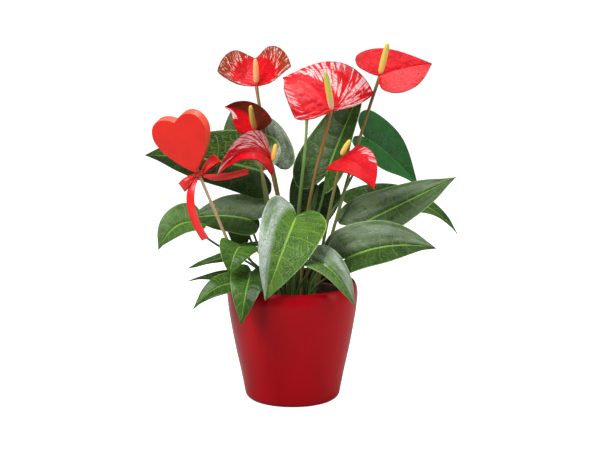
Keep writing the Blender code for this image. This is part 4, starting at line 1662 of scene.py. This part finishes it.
def foliage() -> Foliage:
    """The leaves in their places.

    Returns:
        The foliage.
    """
    # Each row: the blade's form, its finish, its stalk's finish, the painted sheen on each half and the
    # painted shade on each half.
    rows = (
        (BladeForm("leaf_front", (-4.5, -23), (4, -42, 94.5), (-10, -84, 68.5), (-27.6, -73, 13.2),
                   (0.23, -0.8, 0.55), 33.3, (-1.5, 17), (16, -34), lobe=0.87, roll=1.4),
         FRESH, PETIOLE, (0.95, 0.0), (0.0, 0.0)),
        (BladeForm("leaf_front_right", (4.5, -23), (21, -51, 51), (46, -75, 50), (64, -65, 6),
                   (0.5, -0.7, 0.6), 21, (25, 20)), FRESH, PETIOLE, (0.1, 0.7), (0.0, 0.0)),
        (BladeForm("leaf_front_low", (-13.5, -23), (-42, -48, 38), (-47, -76, 30), (-52, -78, -11),
                   (-0.2, -0.8, 0.5), 20), GREEN, PETIOLE, (0.0, 0.0), (0.0, 0.55)),
        (BladeForm("leaf_front_left", (-9, -16), (-53, -43, 64), (-59, -64, 66), (-64, -67, 39),
                   (0, -0.75, 0.65), 21), GREEN, PETIOLE, (0.0, 0.0), (0.0, 0.0)),
        (BladeForm("leaf_left_low", (-18, -16), (-56, -44, 25), (-80, -50, 29), (-102, -54, 0),
                   (0, -0.6, 0.8), 15, lobe=0.6), GREEN, PETIOLE, (0.0, 0.0), (0.0, 0.3)),
        (BladeForm("leaf_left_thin", (-27, 0), (-55, 0, 22), (-85, 10, 22), (-111, 15, 14),
                   (0, -0.2, 1), 14), DEEP, PETIOLE_DARK, (0.0, 0.0), (0.2, 0.4)),
        (BladeForm("leaf_left_dark", (-18, 16), (-50, 20, 45), (-84, 40, 32), (-114, 50, 20),
                   (0, -0.3, 1), 18), DEEP, PETIOLE_DARK, (0.0, 0.0), (0.2, 0.5)),
        (BladeForm("leaf_left_small", (-18, 0), (-103, -25, 86), (-125, -34, 88), (-138, -38, 59),
                   (-0.25, -0.75, 0.7), 23, (25, 20)), GREEN, PETIOLE, (0.15, 0.05), (0.0, 0.2)),
        (BladeForm("leaf_left_mid", (-22.5, 8), (-44, 16, 80), (-77, 32, 86), (-115, 42, 76),
                   (0, -0.7, 0.8), 29, (22, 15)), DEEP, PETIOLE, (0.25, 0.0), (0.0, 0.4)),
        (BladeForm("leaf_left_high", (-13.5, 8), (-32, 0, 135), (-92, 10, 151), (-156, 25, 148),
                   (0, -1, -0.1), 38, (-18, -10), lobe=0.5), DEEP, PETIOLE, (0.9, 0.2), (0.0, 0.5)),
        (BladeForm("leaf_back_left_high", (-9, 16), (-46, 60, 149), (-55, 68, 175), (-64, 76, 195),
                   (0, -1, 0.2), 28), DEEP, PETIOLE, (0.2, 0.2), (0.0, 0.0)),
        (BladeForm("leaf_back_mid", (0, 16), (-22, 28, 143), (-25, 44, 169), (-43, 52, 194),
                   (0.3, -1, 0.2), 25), DEEP, PETIOLE, (0.9, 0.9), (0.0, 0.0)),
        (BladeForm("leaf_back_high", (9, 16), (36, 35, 126), (54, 50, 172), (76, 50, 222),
                   (-0.7, -0.6, 0.5), 41, (25, 20)), DEEP, PETIOLE, (0.0, 0.1), (0.0, 0.0)),
        (BladeForm("leaf_back_low", (4.5, 23), (27, 64, 108), (19, 84, 73), (6, 90, 37),
                   (0, -0.8, 0.5), 29), DEEP, PETIOLE, (0.0, 0.0), (0.2, 0.2)),
        (BladeForm("leaf_right_high", (13.5, 8), (78, 45, 164), (110, 56, 142), (135, 56, 110),
                   (0.45, -0.7, 0.7), 33, (20, 15)), SMOOTH, PETIOLE, (0.0, 0.0), (0.0, 0.0)),
        (BladeForm("leaf_right_back", (18, 16), (70, 40, 91), (145, 66, 107), (180, 72, 54),
                   (0.1, -0.5, 0.9), 26, lobe=0.5), DEEP, PETIOLE, (0.05, 0.0), (0.2, 0.0)),
        (BladeForm("leaf_right", (18, 0), (72, 0, 79), (117, -8, 103), (172, 10, 127),
                   (-0.3, -0.75, 0.7), 31, (8, 8)), DEEP, PETIOLE, (0.15, 0.35), (0.1, 0.0)),
        (BladeForm("leaf_right_low", (18, -16), (56, -25, 47), (100, -42, 72), (148, -45, 62),
                   (-0.1, -0.7, 0.8), 35, (25, 20)), DEEP, PETIOLE, (0.0, 0.4), (0.25, 0.0)),
        (BladeForm("leaf_back_left_low", (-13.5, 23), (-48, 54, 57), (-57, 62, 62), (-76, 68, 69),
                   (0, -1, 0.3), 20), DEEP, PETIOLE_DARK, (0.0, 0.0), (0.5, 0.5)),
    )
    special = {"leaf_front": {"sheen_from": 0.34}, "leaf_left_high": {"sheen_until": 0.22}}
    return Foliage(tuple(Leaf(*row, seed, **special.get(row[0].name, {})) for seed, row in enumerate(rows)))


YELLOW_SPADIX = SpadixFinish("spadix_yellow", (0.78, 0.55, 0.16), (0.80, 0.62, 0.10), (0.62, 0.60, 0.10))
PEACH_SPADIX = SpadixFinish("spadix_peach", (0.80, 0.36, 0.13), (0.82, 0.38, 0.15), (0.80, 0.42, 0.16))
OLIVE_SPADIX = SpadixFinish("spadix_olive", (0.40, 0.20, 0.04), (0.52, 0.38, 0.06), (0.55, 0.46, 0.08))
GREEN_SPADIX = SpadixFinish("spadix_green", (0.85, 0.55, 0.42), (0.70, 0.62, 0.12), (0.48, 0.56, 0.08))
ORANGE_SPADIX = SpadixFinish("spadix_orange", (0.80, 0.36, 0.06), (0.84, 0.48, 0.07), (0.82, 0.58, 0.08))

BROWN_STEM = StalkFinish("stem_brown", (0.130, 0.170, 0.040), (0.300, 0.150, 0.035), (0.20, 0.31))
RED_STEM = StalkFinish("stem_red", (0.160, 0.170, 0.040), (0.400, 0.140, 0.030), (0.18, 0.32))
GREEN_STEM = StalkFinish("stem_green", (0.130, 0.190, 0.045), (0.230, 0.130, 0.030), (0.19, 0.32))


@dataclass
class Bouquet:
    """All six flowers."""

    flowers: tuple[Flower, ...]

    def build(self) -> None:
        """Build every flower."""
        back = SpatheBackFinish().make()
        for flower in self.flowers:
            flower.build_spathe(flower.finish.make(), back)
            flower.build_spadix(flower.spadix_finish.make())
            flower.build_stem(flower.stem_finish.make())


def bouquet() -> Bouquet:
    """The flowers in their places.

    Returns:
        The bouquet.
    """
    glossy = SpatheFinish("spathe_glossy", specular=0.08, coat=0.04, rays=8.0, broken=1.2)
    # Near-black brown, laid on the half-open spathe's right half partly as painted shade.
    dusky = SpatheFinish("spathe_dusky", brown=(0.040, 0.011, 0.004), roughness=0.6, specular=0.02, coat=0.0,
                         rays=6.0, broken=1.5)
    blistered = SpatheFinish("spathe_blistered")
    # Pale colour of the painted glints speckled on the brown lobes.
    speckled = SpatheFinish("spathe_speckled", rays=15.0, broken=5.0, pale=(0.80, 0.50, 0.42),
                            brown=(0.15, 0.045, 0.008), specular=0.12)
    return Bouquet((
        Flower(BladeForm("spathe_top_left", (-4.5, 8), (-38, 34, 221), (-37.4, 60.3, 236.3),
                         (-40.7, 90.1, 243.9), (-0.11, -0.26, 0.96), 44.6, (8, 43), (67, 96), lobe=0.3,
                         knee=(7, -20, -55), roll=-12),
               speckled, ((-38, 33, 222), (-38, 34, 232), (-39, 35, 248)), 3.3, PEACH_SPADIX, BROWN_STEM,
               quilt=0.8, painted_sheen=(0.85, 0.85), sheen_from=(0.35, 0.35), brown=(0.8, 0.8), brown_from=0.55,
               seed=1),
        # Its right half is near-black brown: partly its own brown, partly painted shade of the inner side.
        Flower(BladeForm("spathe_half_open", (-13.5, -8), (-39, 4, 177), (-50.9, 26.2, 196.5),
                         (-70.8, 21.6, 199.6), (0.22, -0.8, 0.55), 21.3, (10, 33), (41, -2), lobe=0.28,
                         knee=(4, -14, -40), roll=-4),
               dusky, ((-39, 2, 178), (-42, -3, 190), (-43, -6, 204)), 3.0, OLIVE_SPADIX, BROWN_STEM,
               quilt=0.7, painted_sheen=(0.0, 1.7), sheen_from=(0.1, 0.35), sheen_along=(0.45, 0.7),
               brown=(0.97, 0.1), brown_from=0.0, seed=2),
        Flower(BladeForm("spathe_hooded", (-4.5, -8), (-21, -28, 149), (-42.5, -44.3, 180.6),
                         (-75.7, -61, 140.9), (-0.05, -0.89, 0.46), 23.9, (11, 46), (-32, 52), lobe=0.02,
                         knee=(4, 18, -40), rise=0.6, roll=2),
               blistered, ((-21, -30, 150), (-20, -30, 157), (-18, -26, 167)), 2.6, ORANGE_SPADIX, RED_STEM,
               painted_sheen=(1.0, 0.25), sheen_from=(0.02, 0.15), sheen_along=(-0.1, 0.35), seed=3),
        Flower(BladeForm("spathe_main", (9, 0), (40, -20, 201), (17.5, 1.3, 237.2), (-9.9, 16.7, 230.7),
                         (0.24, -0.65, 0.72), 50.9, (3, -5), (2, 62), lobe=0.19, knee=(-8, 8, -45),
                         rise=0.5, roll=9),
               blistered, ((40, -22, 202), (37, -34, 221), (33, -40, 243)), 3.4, GREEN_SPADIX, RED_STEM,
               painted_sheen=(1.0, 0.85), sheen_from=(0.12, 0.45), seed=4, dark_tip=1.0),
        Flower(BladeForm("spathe_top_right", (22.5, 8), (91, 8, 234), (119, 30, 242), (148, 52, 242),
                         (-0.2, -0.75, 0.65), 35, (10, 10), (-5, -5), lobe=0.7, knee=(-26, 0, -76),
                         lean=(22, 0), rise=0.3),
               glossy, ((91, 7, 235), (94, 2, 251), (98, -4, 268)), 3.3, YELLOW_SPADIX, GREEN_STEM,
               quilt=0.5, painted_sheen=(0.2, 0.0), seed=5, dark_tip=1.0),
        Flower(BladeForm("spathe_reflexed", (22.5, -8), (50, -20, 152), (72.2, -40.3, 153.3),
                         (82.7, -63.4, 127.2), (0.34, -0.89, 0.29), 25.2, (7, 9), (-23, 8), lobe=0.03,
                         knee=(-8, 8, -40), lean=(10, 0), roll=6),
               glossy, ((51, -21, 154), (54, -23, 161), (60, -22, 170)), 2.8, YELLOW_SPADIX, BROWN_STEM,
               quilt=0.6, painted_sheen=(0.0, 0.9), sheen_from=(0.1, 0.40), sheen_along=(0.3, 0.5), seed=6),
    ))


# ---------------------------------------------------------------- pots and soil


@dataclass
class PotSet:
    """Cover pot, grow pot and soil."""

    height: float = 125 * MM
    radius: float = 69 * MM
    wall: float = 4 * MM
    foot_radius: float = 45 * MM
    grow_base: float = 4.3 * MM
    grow_height: float = 108 * MM
    grow_top_radius: float = 58 * MM
    grow_foot_radius: float = 38 * MM
    turns: int = 160
    outside: tuple[Pair, ...] = (
        (0.732, 0.042),
        (0.797, 0.230),
        (0.884, 0.456),
        (0.965, 0.712),
        (0.998, 0.864),
        (1.000, 0.912),
        (0.987, 0.956),
        (0.965, 0.986),
        (0.942, 1.000),
    )

    def build_cover(self) -> Piece:
        """Turn the cover pot with its rolled lip and hollow foot.

        Returns:
            The piece.
        """
        profile: list[Pair] = [(0.0, self.wall), (self.foot_radius - 3 * MM, self.wall)]
        inner = [(r * self.radius - self.wall, h * self.height) for r, h in self.outside[:6]]
        profile += spline_through(inner, 6)
        profile += [(0.925 * self.radius, 0.965 * self.height), (0.928 * self.radius, 0.988 * self.height)]
        outer = [(r * self.radius, h * self.height) for r, h in self.outside]
        profile += spline_through(outer[::-1], 6)
        profile += [(0.722 * self.radius, 0.026 * self.height), (0.704 * self.radius, 0.012 * self.height),
                    (0.680 * self.radius, 0.002 * self.height), (0.662 * self.radius, 0.0),
                    (0.56 * self.radius, 0.0), (0.545 * self.radius, 0.6 * MM), (0.0, 0.6 * MM)]
        piece = lathe("pot_shell", profile, self.turns)
        # The inside wall gets a near-black glaze: painted shade where the plant and the lip shade the inside
        # of the pot.
        inside = GlazeFinish("red_glaze_painted_shade", (0.10, 0.002, 0.003), (0.06, 0.001, 0.002))
        dress(piece, GlazeFinish().make(), inside.make())
        # Faces turned inward above the foot take the painted-shade glaze.
        for face in piece.data.polygons:
            inward = face.normal.to_2d().dot(face.center.to_2d()) < -0.2 * face.center.to_2d().length
            face.material_index = int(inward and face.center.z > 2 * self.wall)
        soften(piece, 40)
        return finish_piece(piece, "pot", "cover_pot")

    def build_grow(self) -> Piece:
        """Turn the thin grow pot with its rolled rim.

        Returns:
            The piece.
        """
        top = self.grow_base + self.grow_height
        wall = 1.4 * MM
        rim = 2.2 * MM
        outer = self.grow_top_radius
        profile: list[Pair] = [
            (0.0, self.grow_base + wall),
            (self.grow_foot_radius - wall, self.grow_base + wall),
            (outer - wall - rim, top - 6 * MM),
            (outer - wall - rim, top - 1 * MM),
            (outer - wall - rim + 0.5 * MM, top - 0.2 * MM),
            (outer - 0.6 * MM, top),
            (outer, top - 0.6 * MM),
            (outer, top - 6 * MM),
            (outer - 1.2 * MM, top - 6.2 * MM),
            (outer - rim, top - 6.2 * MM),
            (self.grow_foot_radius, self.grow_base + 0.8 * MM),
            (self.grow_foot_radius - 1 * MM, self.grow_base),
            (0.0, self.grow_base),
        ]
        piece = lathe("nursery_pot", profile, 96)
        dress(piece, PlasticFinish().make())
        soften(piece, 40)
        return finish_piece(piece, "grow_pot", "grow_pot")

    def soil_drop(self, share: np.ndarray | float) -> np.ndarray | float:
        """How far the soil falls away near its rim, at a share of its radius, in metres."""
        return 3.4 * MM * smooth(0.62, 1.0, share)

    def build_soil(self) -> Piece:
        """Shape the crumbly top of the soil and close it below.

        Returns:
            The piece.
        """
        reach = self.grow_top_radius - 3.9 * MM
        piece, u, v = grid("potting_soil", 120, 120)
        w = v * 2 - 1
        x = u * np.sqrt(1 - w ** 2 / 2)
        y = w * np.sqrt(1 - u ** 2 / 2)
        distance = np.hypot(x, y)
        height = SOIL_LEVEL - self.soil_drop(distance)
        rough = np.array([noise.fractal(Vector((9 * a, 9 * b, 4.0)), 0.8, 2.1, 5) for a, b in zip(x, y)])
        height += rough * MM * (1 - smooth(0.96, 1.0, distance))
        move_points(piece, np.column_stack((x * reach, y * reach, height)))
        face_outward(piece)
        thicken(piece, 12 * MM)
        dress(piece, PeatFinish().make())
        soften(piece, 70)
        return finish_piece(piece, "soil", "soil")

    def build_crumbs(self) -> Piece:
        """Scatter bark and peat lumps on the soil, as one piece.

        Returns:
            The piece.
        """
        chance = np.random.default_rng(11)
        lumps = []
        for index in range(130):
            angle = chance.uniform(0, math.tau)
            distance = math.sqrt(chance.uniform(0, 1)) * 50 * MM
            size = chance.uniform(0.9, 2.6) * MM
            drop = float(self.soil_drop(distance / (54 * MM)))
            spot = (math.cos(angle) * distance, math.sin(angle) * distance, SOIL_LEVEL + size * 0.25 - drop)
            object_mode()
            bpy.ops.mesh.primitive_ico_sphere_add(subdivisions=2, radius=size, location=spot,
                                                  rotation=tuple(chance.uniform(0, 3, 3)))
            lump = bpy.context.object
            co = points_of(lump)
            grow = 1 + 0.25 * np.sin(co @ chance.uniform(-2, 2, (3, 1)) / size)[:, 0]
            move_points(lump, co * grow[:, None] * np.array((1.5, 0.8, 0.55)))
            bpy.ops.object.transform_apply(location=True, rotation=True, scale=True)
            lumps.append(lump)
        pick(*lumps)
        bpy.ops.object.join()
        piece = named(bpy.context.object, "soil_crumbs")
        dress(piece, PeatFinish("bark", (0.030, 0.017, 0.010), (0.16, 0.095, 0.050)).make())
        return finish_piece(piece, "soil")

    def build(self) -> None:
        """Build the pots and the soil."""
        self.build_cover()
        self.build_grow()
        self.build_soil()
        self.build_crumbs()


# ---------------------------------------------------------------- heart on its pick


@dataclass
class HeartPick:
    """Painted wooden heart on a pick, with a satin bow."""

    foot: Point = (-40, -24, 0)
    top: Point = (-99.8, -40, 150)
    stick_radius: float = 1.6 * MM
    heart_width: float = 60 * MM
    heart_thickness: float = 13 * MM
    heart_rounding: float = 2.6 * MM
    lean: float = 17
    turn: float = 22
    pitch: float = 14
    into_heart: float = 7.6 * MM
    knot_below_top: float = 12.3 * MM
    knot_radius: float = 4.0 * MM
    ribbon_width: float = 10 * MM
    ribbon_gathered: float = 0.45
    knots: tuple[tuple[Pair, Pair, Pair], ...] = (
        ((0.0, 0.88), (0.13, 1.00), (-0.13, 1.00)),
        ((-0.58, 1.08), (-0.38, 1.12), (-0.84, 1.04)),
        ((-1.00, 0.44), (-1.02, 0.76), (-0.98, 0.00)),
        ((0.0, -0.98), (-0.36, -0.74), (0.36, -0.74)),
        ((1.00, 0.44), (0.98, 0.00), (1.02, 0.76)),
        ((0.58, 1.08), (0.84, 1.04), (0.38, 1.12)),
    )
    ribbons: dict[str, tuple] = field(default_factory=lambda: {
        "ribbon_loop_left": (
            ((-4.6, -4.4, -1.5), (-13, -15, -4), (-26, -9, -20), (-16, 6, -18), (-4.6, 4.4, -3)),
            ((0.58, 0, -0.81), (0.58, 0, -0.81))),
        "ribbon_loop_right": (
            ((4.6, -4.2, 2.5), (8, -13, 13), (27, -9, 26), (22, 6, 15), (5.2, 4.2, 1.8)),
            ((0.68, 0, -0.73), (0.68, 0, -0.73))),
        "ribbon_tail_right": (
            ((5.6, -1.6, -1.4), (18, -12, -4), (34, -15, 0), (51, -10, 4.5)),
            ((0, -0.6, 0.8), (0, -0.8, 0.9))),
        "ribbon_tail_left": (
            ((-1.2, -5.6, -4.2), (-14, -11, -18), (-8, -17, -42), (7, -17, -65)),
            ((1, -0.5, 0.2), (1, -0.7, 0.5))),
    })
    ribbon_thickness: float = 0.4 * MM

    @property
    def axis(self) -> np.ndarray:
        """Direction of the pick."""
        return unit(place(self.top) - place(self.foot))

    @property
    def knot_middle(self) -> np.ndarray:
        """Middle of the bow's knot, on the pick."""
        return place(self.top) - self.axis * self.knot_below_top

    def build_heart(self) -> Piece:
        """Shape the heart plate: a disc drawn to its outline, extruded and bevelled.

        Returns:
            The piece.
        """
        half = self.heart_width / 2
        outline: list[np.ndarray] = []
        for index, (start, _, right) in enumerate(self.knots):
            end, left, _ = self.knots[(index + 1) % len(self.knots)]
            outline += list(bezier([start, right, left, end], 25)[:-1])
        object_mode()
        bpy.ops.mesh.primitive_circle_add(vertices=len(outline), radius=1, fill_type="NGON")
        piece = named(bpy.context.object, "painted_heart")
        flat = np.array([(x * half, y * half, -self.heart_thickness / 2) for x, y in outline])
        move_points(piece, flat)
        edit(piece, lambda: bpy.ops.mesh.extrude_region_move(
            TRANSFORM_OT_translate={"value": (0, 0, self.heart_thickness)}))
        face_outward(piece)
        bevel = piece.modifiers.new("edge", "BEVEL")
        bevel.width = self.heart_rounding
        bevel.segments = 6
        bevel.limit_method = "ANGLE"
        bevel.angle_limit = math.radians(60)
        apply_modifiers(piece)
        upright = Matrix.Rotation(math.radians(90), 4, "X")
        lean = Matrix.Rotation(math.radians(-self.lean), 4, "Y")
        turn = Matrix.Rotation(math.radians(-self.turn), 4, "Z")
        pitch = Matrix.Rotation(math.radians(self.pitch), 4, "X")
        inner = half - self.heart_rounding
        lift = Matrix.Translation(Vector((0, 0, 0.98 * inner - self.into_heart + 2 * MM)))
        held = turn @ lean @ pitch
        piece.data.transform(Matrix.Translation(Vector(place(self.top))) @ held @ lift @ upright)
        # The rounded rim and sides take a paler red: a painted highlight along the heart's edge.
        dress(piece, PaintFinish().make(), PaintFinish("heart_paint_rim_highlight", (0.84, 0.075, 0.040)).make())
        front = held.to_3x3() @ Vector((0, -1, 0))
        # Faces not turned to the front take the painted highlight.
        for face in piece.data.polygons:
            face.material_index = int(abs(face.normal.dot(front)) < 0.9)
        soften(piece, 35)
        return finish_piece(piece, "heart", "heart")

    def build_stick(self) -> Piece:
        """Turn the wooden pick.

        Returns:
            The piece.
        """
        low = place(self.foot) - self.axis * 29 * MM
        shaft = np.linspace(low + self.axis * 2 * MM, place(self.top), 12)
        line = np.array([low, low + self.axis * 1 * MM, *shaft])
        radii = np.full(len(line), self.stick_radius)
        radii[0] *= 0.5
        piece = sweep("wooden_pick", line, radii, 12)
        tilt = Vector(self.axis).rotation_difference(Vector((0, 0, 1))).to_euler()
        dress(piece, WoodFinish(lean=tuple(tilt)).make())
        soften(piece, 60)
        return finish_piece(piece, "stick", "heart_stick")

    def build_knot(self, satin: Material) -> Piece:
        """Shape the bow's knot: a puckered band round the pick.

        Args:
            satin: The ribbon's material.

        Returns:
            The piece.
        """
        middle = self.knot_middle
        object_mode()
        bpy.ops.mesh.primitive_uv_sphere_add(segments=64, ring_count=32, radius=1)
        piece = named(bpy.context.object, "bow_knot")
        co = points_of(piece)
        turn = np.arctan2(co[:, 1], co[:, 0])
        z = co[:, 2]
        puckers = 1 + 0.07 * np.sin(turn * 9 + z * 3) + 0.05 * np.sin(turn * 5 - z * 7)
        radius = self.knot_radius * (1 - np.abs(z) ** 4) ** 0.5 * puckers
        across = unit(np.cross(self.axis, (0.0, 1.0, 0.0)))
        other = np.cross(self.axis, across)
        move_points(piece, middle + around(across, other, radius, turn) + self.axis * (z * 2.9 * MM)[:, None])
        face_outward(piece)
        dress(piece, satin)
        soften(piece, 80)
        return finish_piece(piece, "ribbon", "ribbon_knot")

    def build_ribbon(self, node: str, satin: Material) -> Piece:
        """Lay one strip of the bow along its path.

        Args:
            node: The frame's node that the strip stands for.
            satin: The ribbon's material.

        Returns:
            The strip.
        """
        path, turns = self.ribbons[node]
        middle = self.knot_middle
        steps = 80
        line = bezier([middle + np.array(point) * MM for point in path], steps + 1)
        side = units(bezier(turns, steps + 1))
        tangent = units(np.gradient(line, axis=0))
        normal = np.cross(tangent, side)
        piece, u, v = grid(node.replace("ribbon", "satin"), 24, steps)
        row = np.round(v * steps).astype(int)
        if "loop" in node:
            open_share = np.sin(math.pi * v)
        else:
            open_share = np.minimum(1.0, 4 * v)
        width = self.ribbon_width * (self.ribbon_gathered + (1 - self.ribbon_gathered) * open_share)
        pleat = np.cos(u * 5.5) * (1 - open_share) ** 1.5 * 1.1 * MM
        cup = (1 - u ** 2) * 1.3 * MM * np.sin(v * 5 + 0.8) + pleat
        points = line[row] + side[row] * (u * width / 2)[:, None] + normal[row] * cup[:, None]
        move_points(piece, points)
        write_uv(piece, np.column_stack(((u + 1) / 2, v)))
        thicken(piece, self.ribbon_thickness, offset=0.0)
        dress(piece, satin)
        soften(piece, 50)
        return finish_piece(piece, "ribbon", node)

    def build(self) -> None:
        """Build the heart, the pick and the bow."""
        satin = SatinFinish().make()
        self.build_heart()
        self.build_stick()
        self.build_knot(satin)
        for node in self.ribbons:
            self.build_ribbon(node, satin)


# ---------------------------------------------------------------- studio


@dataclass(frozen=True)
class Lamp:
    """One soft area light."""

    name: str
    place: Point
    aim: Point
    size: Pair
    power: float
    mirrored: bool = True

    def build(self) -> Piece:
        """Hang the light.

        Returns:
            The light.
        """
        object_mode()
        bpy.ops.object.light_add(type="AREA", location=self.place)
        lamp = bpy.context.object
        lamp.name = self.name
        lamp.data.shape = "RECTANGLE"
        lamp.data.size, lamp.data.size_y = self.size
        lamp.data.energy = self.power
        lamp.visible_glossy = self.mirrored
        lamp.rotation_euler = facing(self.place, self.aim)
        return lamp


@dataclass(frozen=True)
class Studio:
    """Pale floor, soft lights and the camera."""

    eye: Point = (0.008, -1.75, 0.529)
    aim: Point = (0.008, 0.0, 0.185)
    lens: float = 101.9
    lamps: tuple[Lamp, ...] = (
        Lamp("key", (-0.95, -0.80, 1.35), (0.0, 0.0, 0.22), (0.9, 0.9), 36.0),
        Lamp("overhead", (0.15, 0.45, 1.55), (0.0, 0.0, 0.20), (1.3, 0.9), 30.0, mirrored=False),
        Lamp("sheen", (0.35, 0.75, 1.30), (0.0, 0.0, 0.22), (0.5, 0.35), 3.0),
        Lamp("right_strip", (1.25, -0.55, 0.65), (0.0, 0.0, 0.20), (0.5, 1.1), 9.0),
    )
    surround: float = 0.20

    def build(self) -> None:
        """Build the stage, the lights and the camera."""
        object_mode()
        bpy.ops.mesh.primitive_plane_add(size=60, location=(0, 0, 0))
        floor = named(bpy.context.object, "studio_floor")
        dress(floor, FloorFinish().make())
        for lamp in self.lamps:
            lamp.build()
        world = bpy.data.worlds.new("studio")
        world.use_nodes = True
        world.node_tree.nodes["Background"].inputs["Color"].default_value = (1, 1, 1, 1)
        world.node_tree.nodes["Background"].inputs["Strength"].default_value = self.surround
        bpy.context.scene.world = world
        bpy.ops.object.camera_add(location=self.eye)
        camera = bpy.context.object
        camera.rotation_euler = facing(self.eye, self.aim)
        camera.data.lens = self.lens
        camera.data.sensor_width = 36.0
        bpy.context.scene.camera = camera
        bpy.context.scene.view_settings.view_transform = "Standard"


def main() -> None:
    """Build the plant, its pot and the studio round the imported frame."""
    logging.basicConfig(level=logging.INFO, format="%(name)s: %(message)s")
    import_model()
    Studio().build()
    PotSet().build()
    foliage().build()
    bouquet().build()
    HeartPick().build()
    object_mode()


if __name__ == "__main__":
    main()
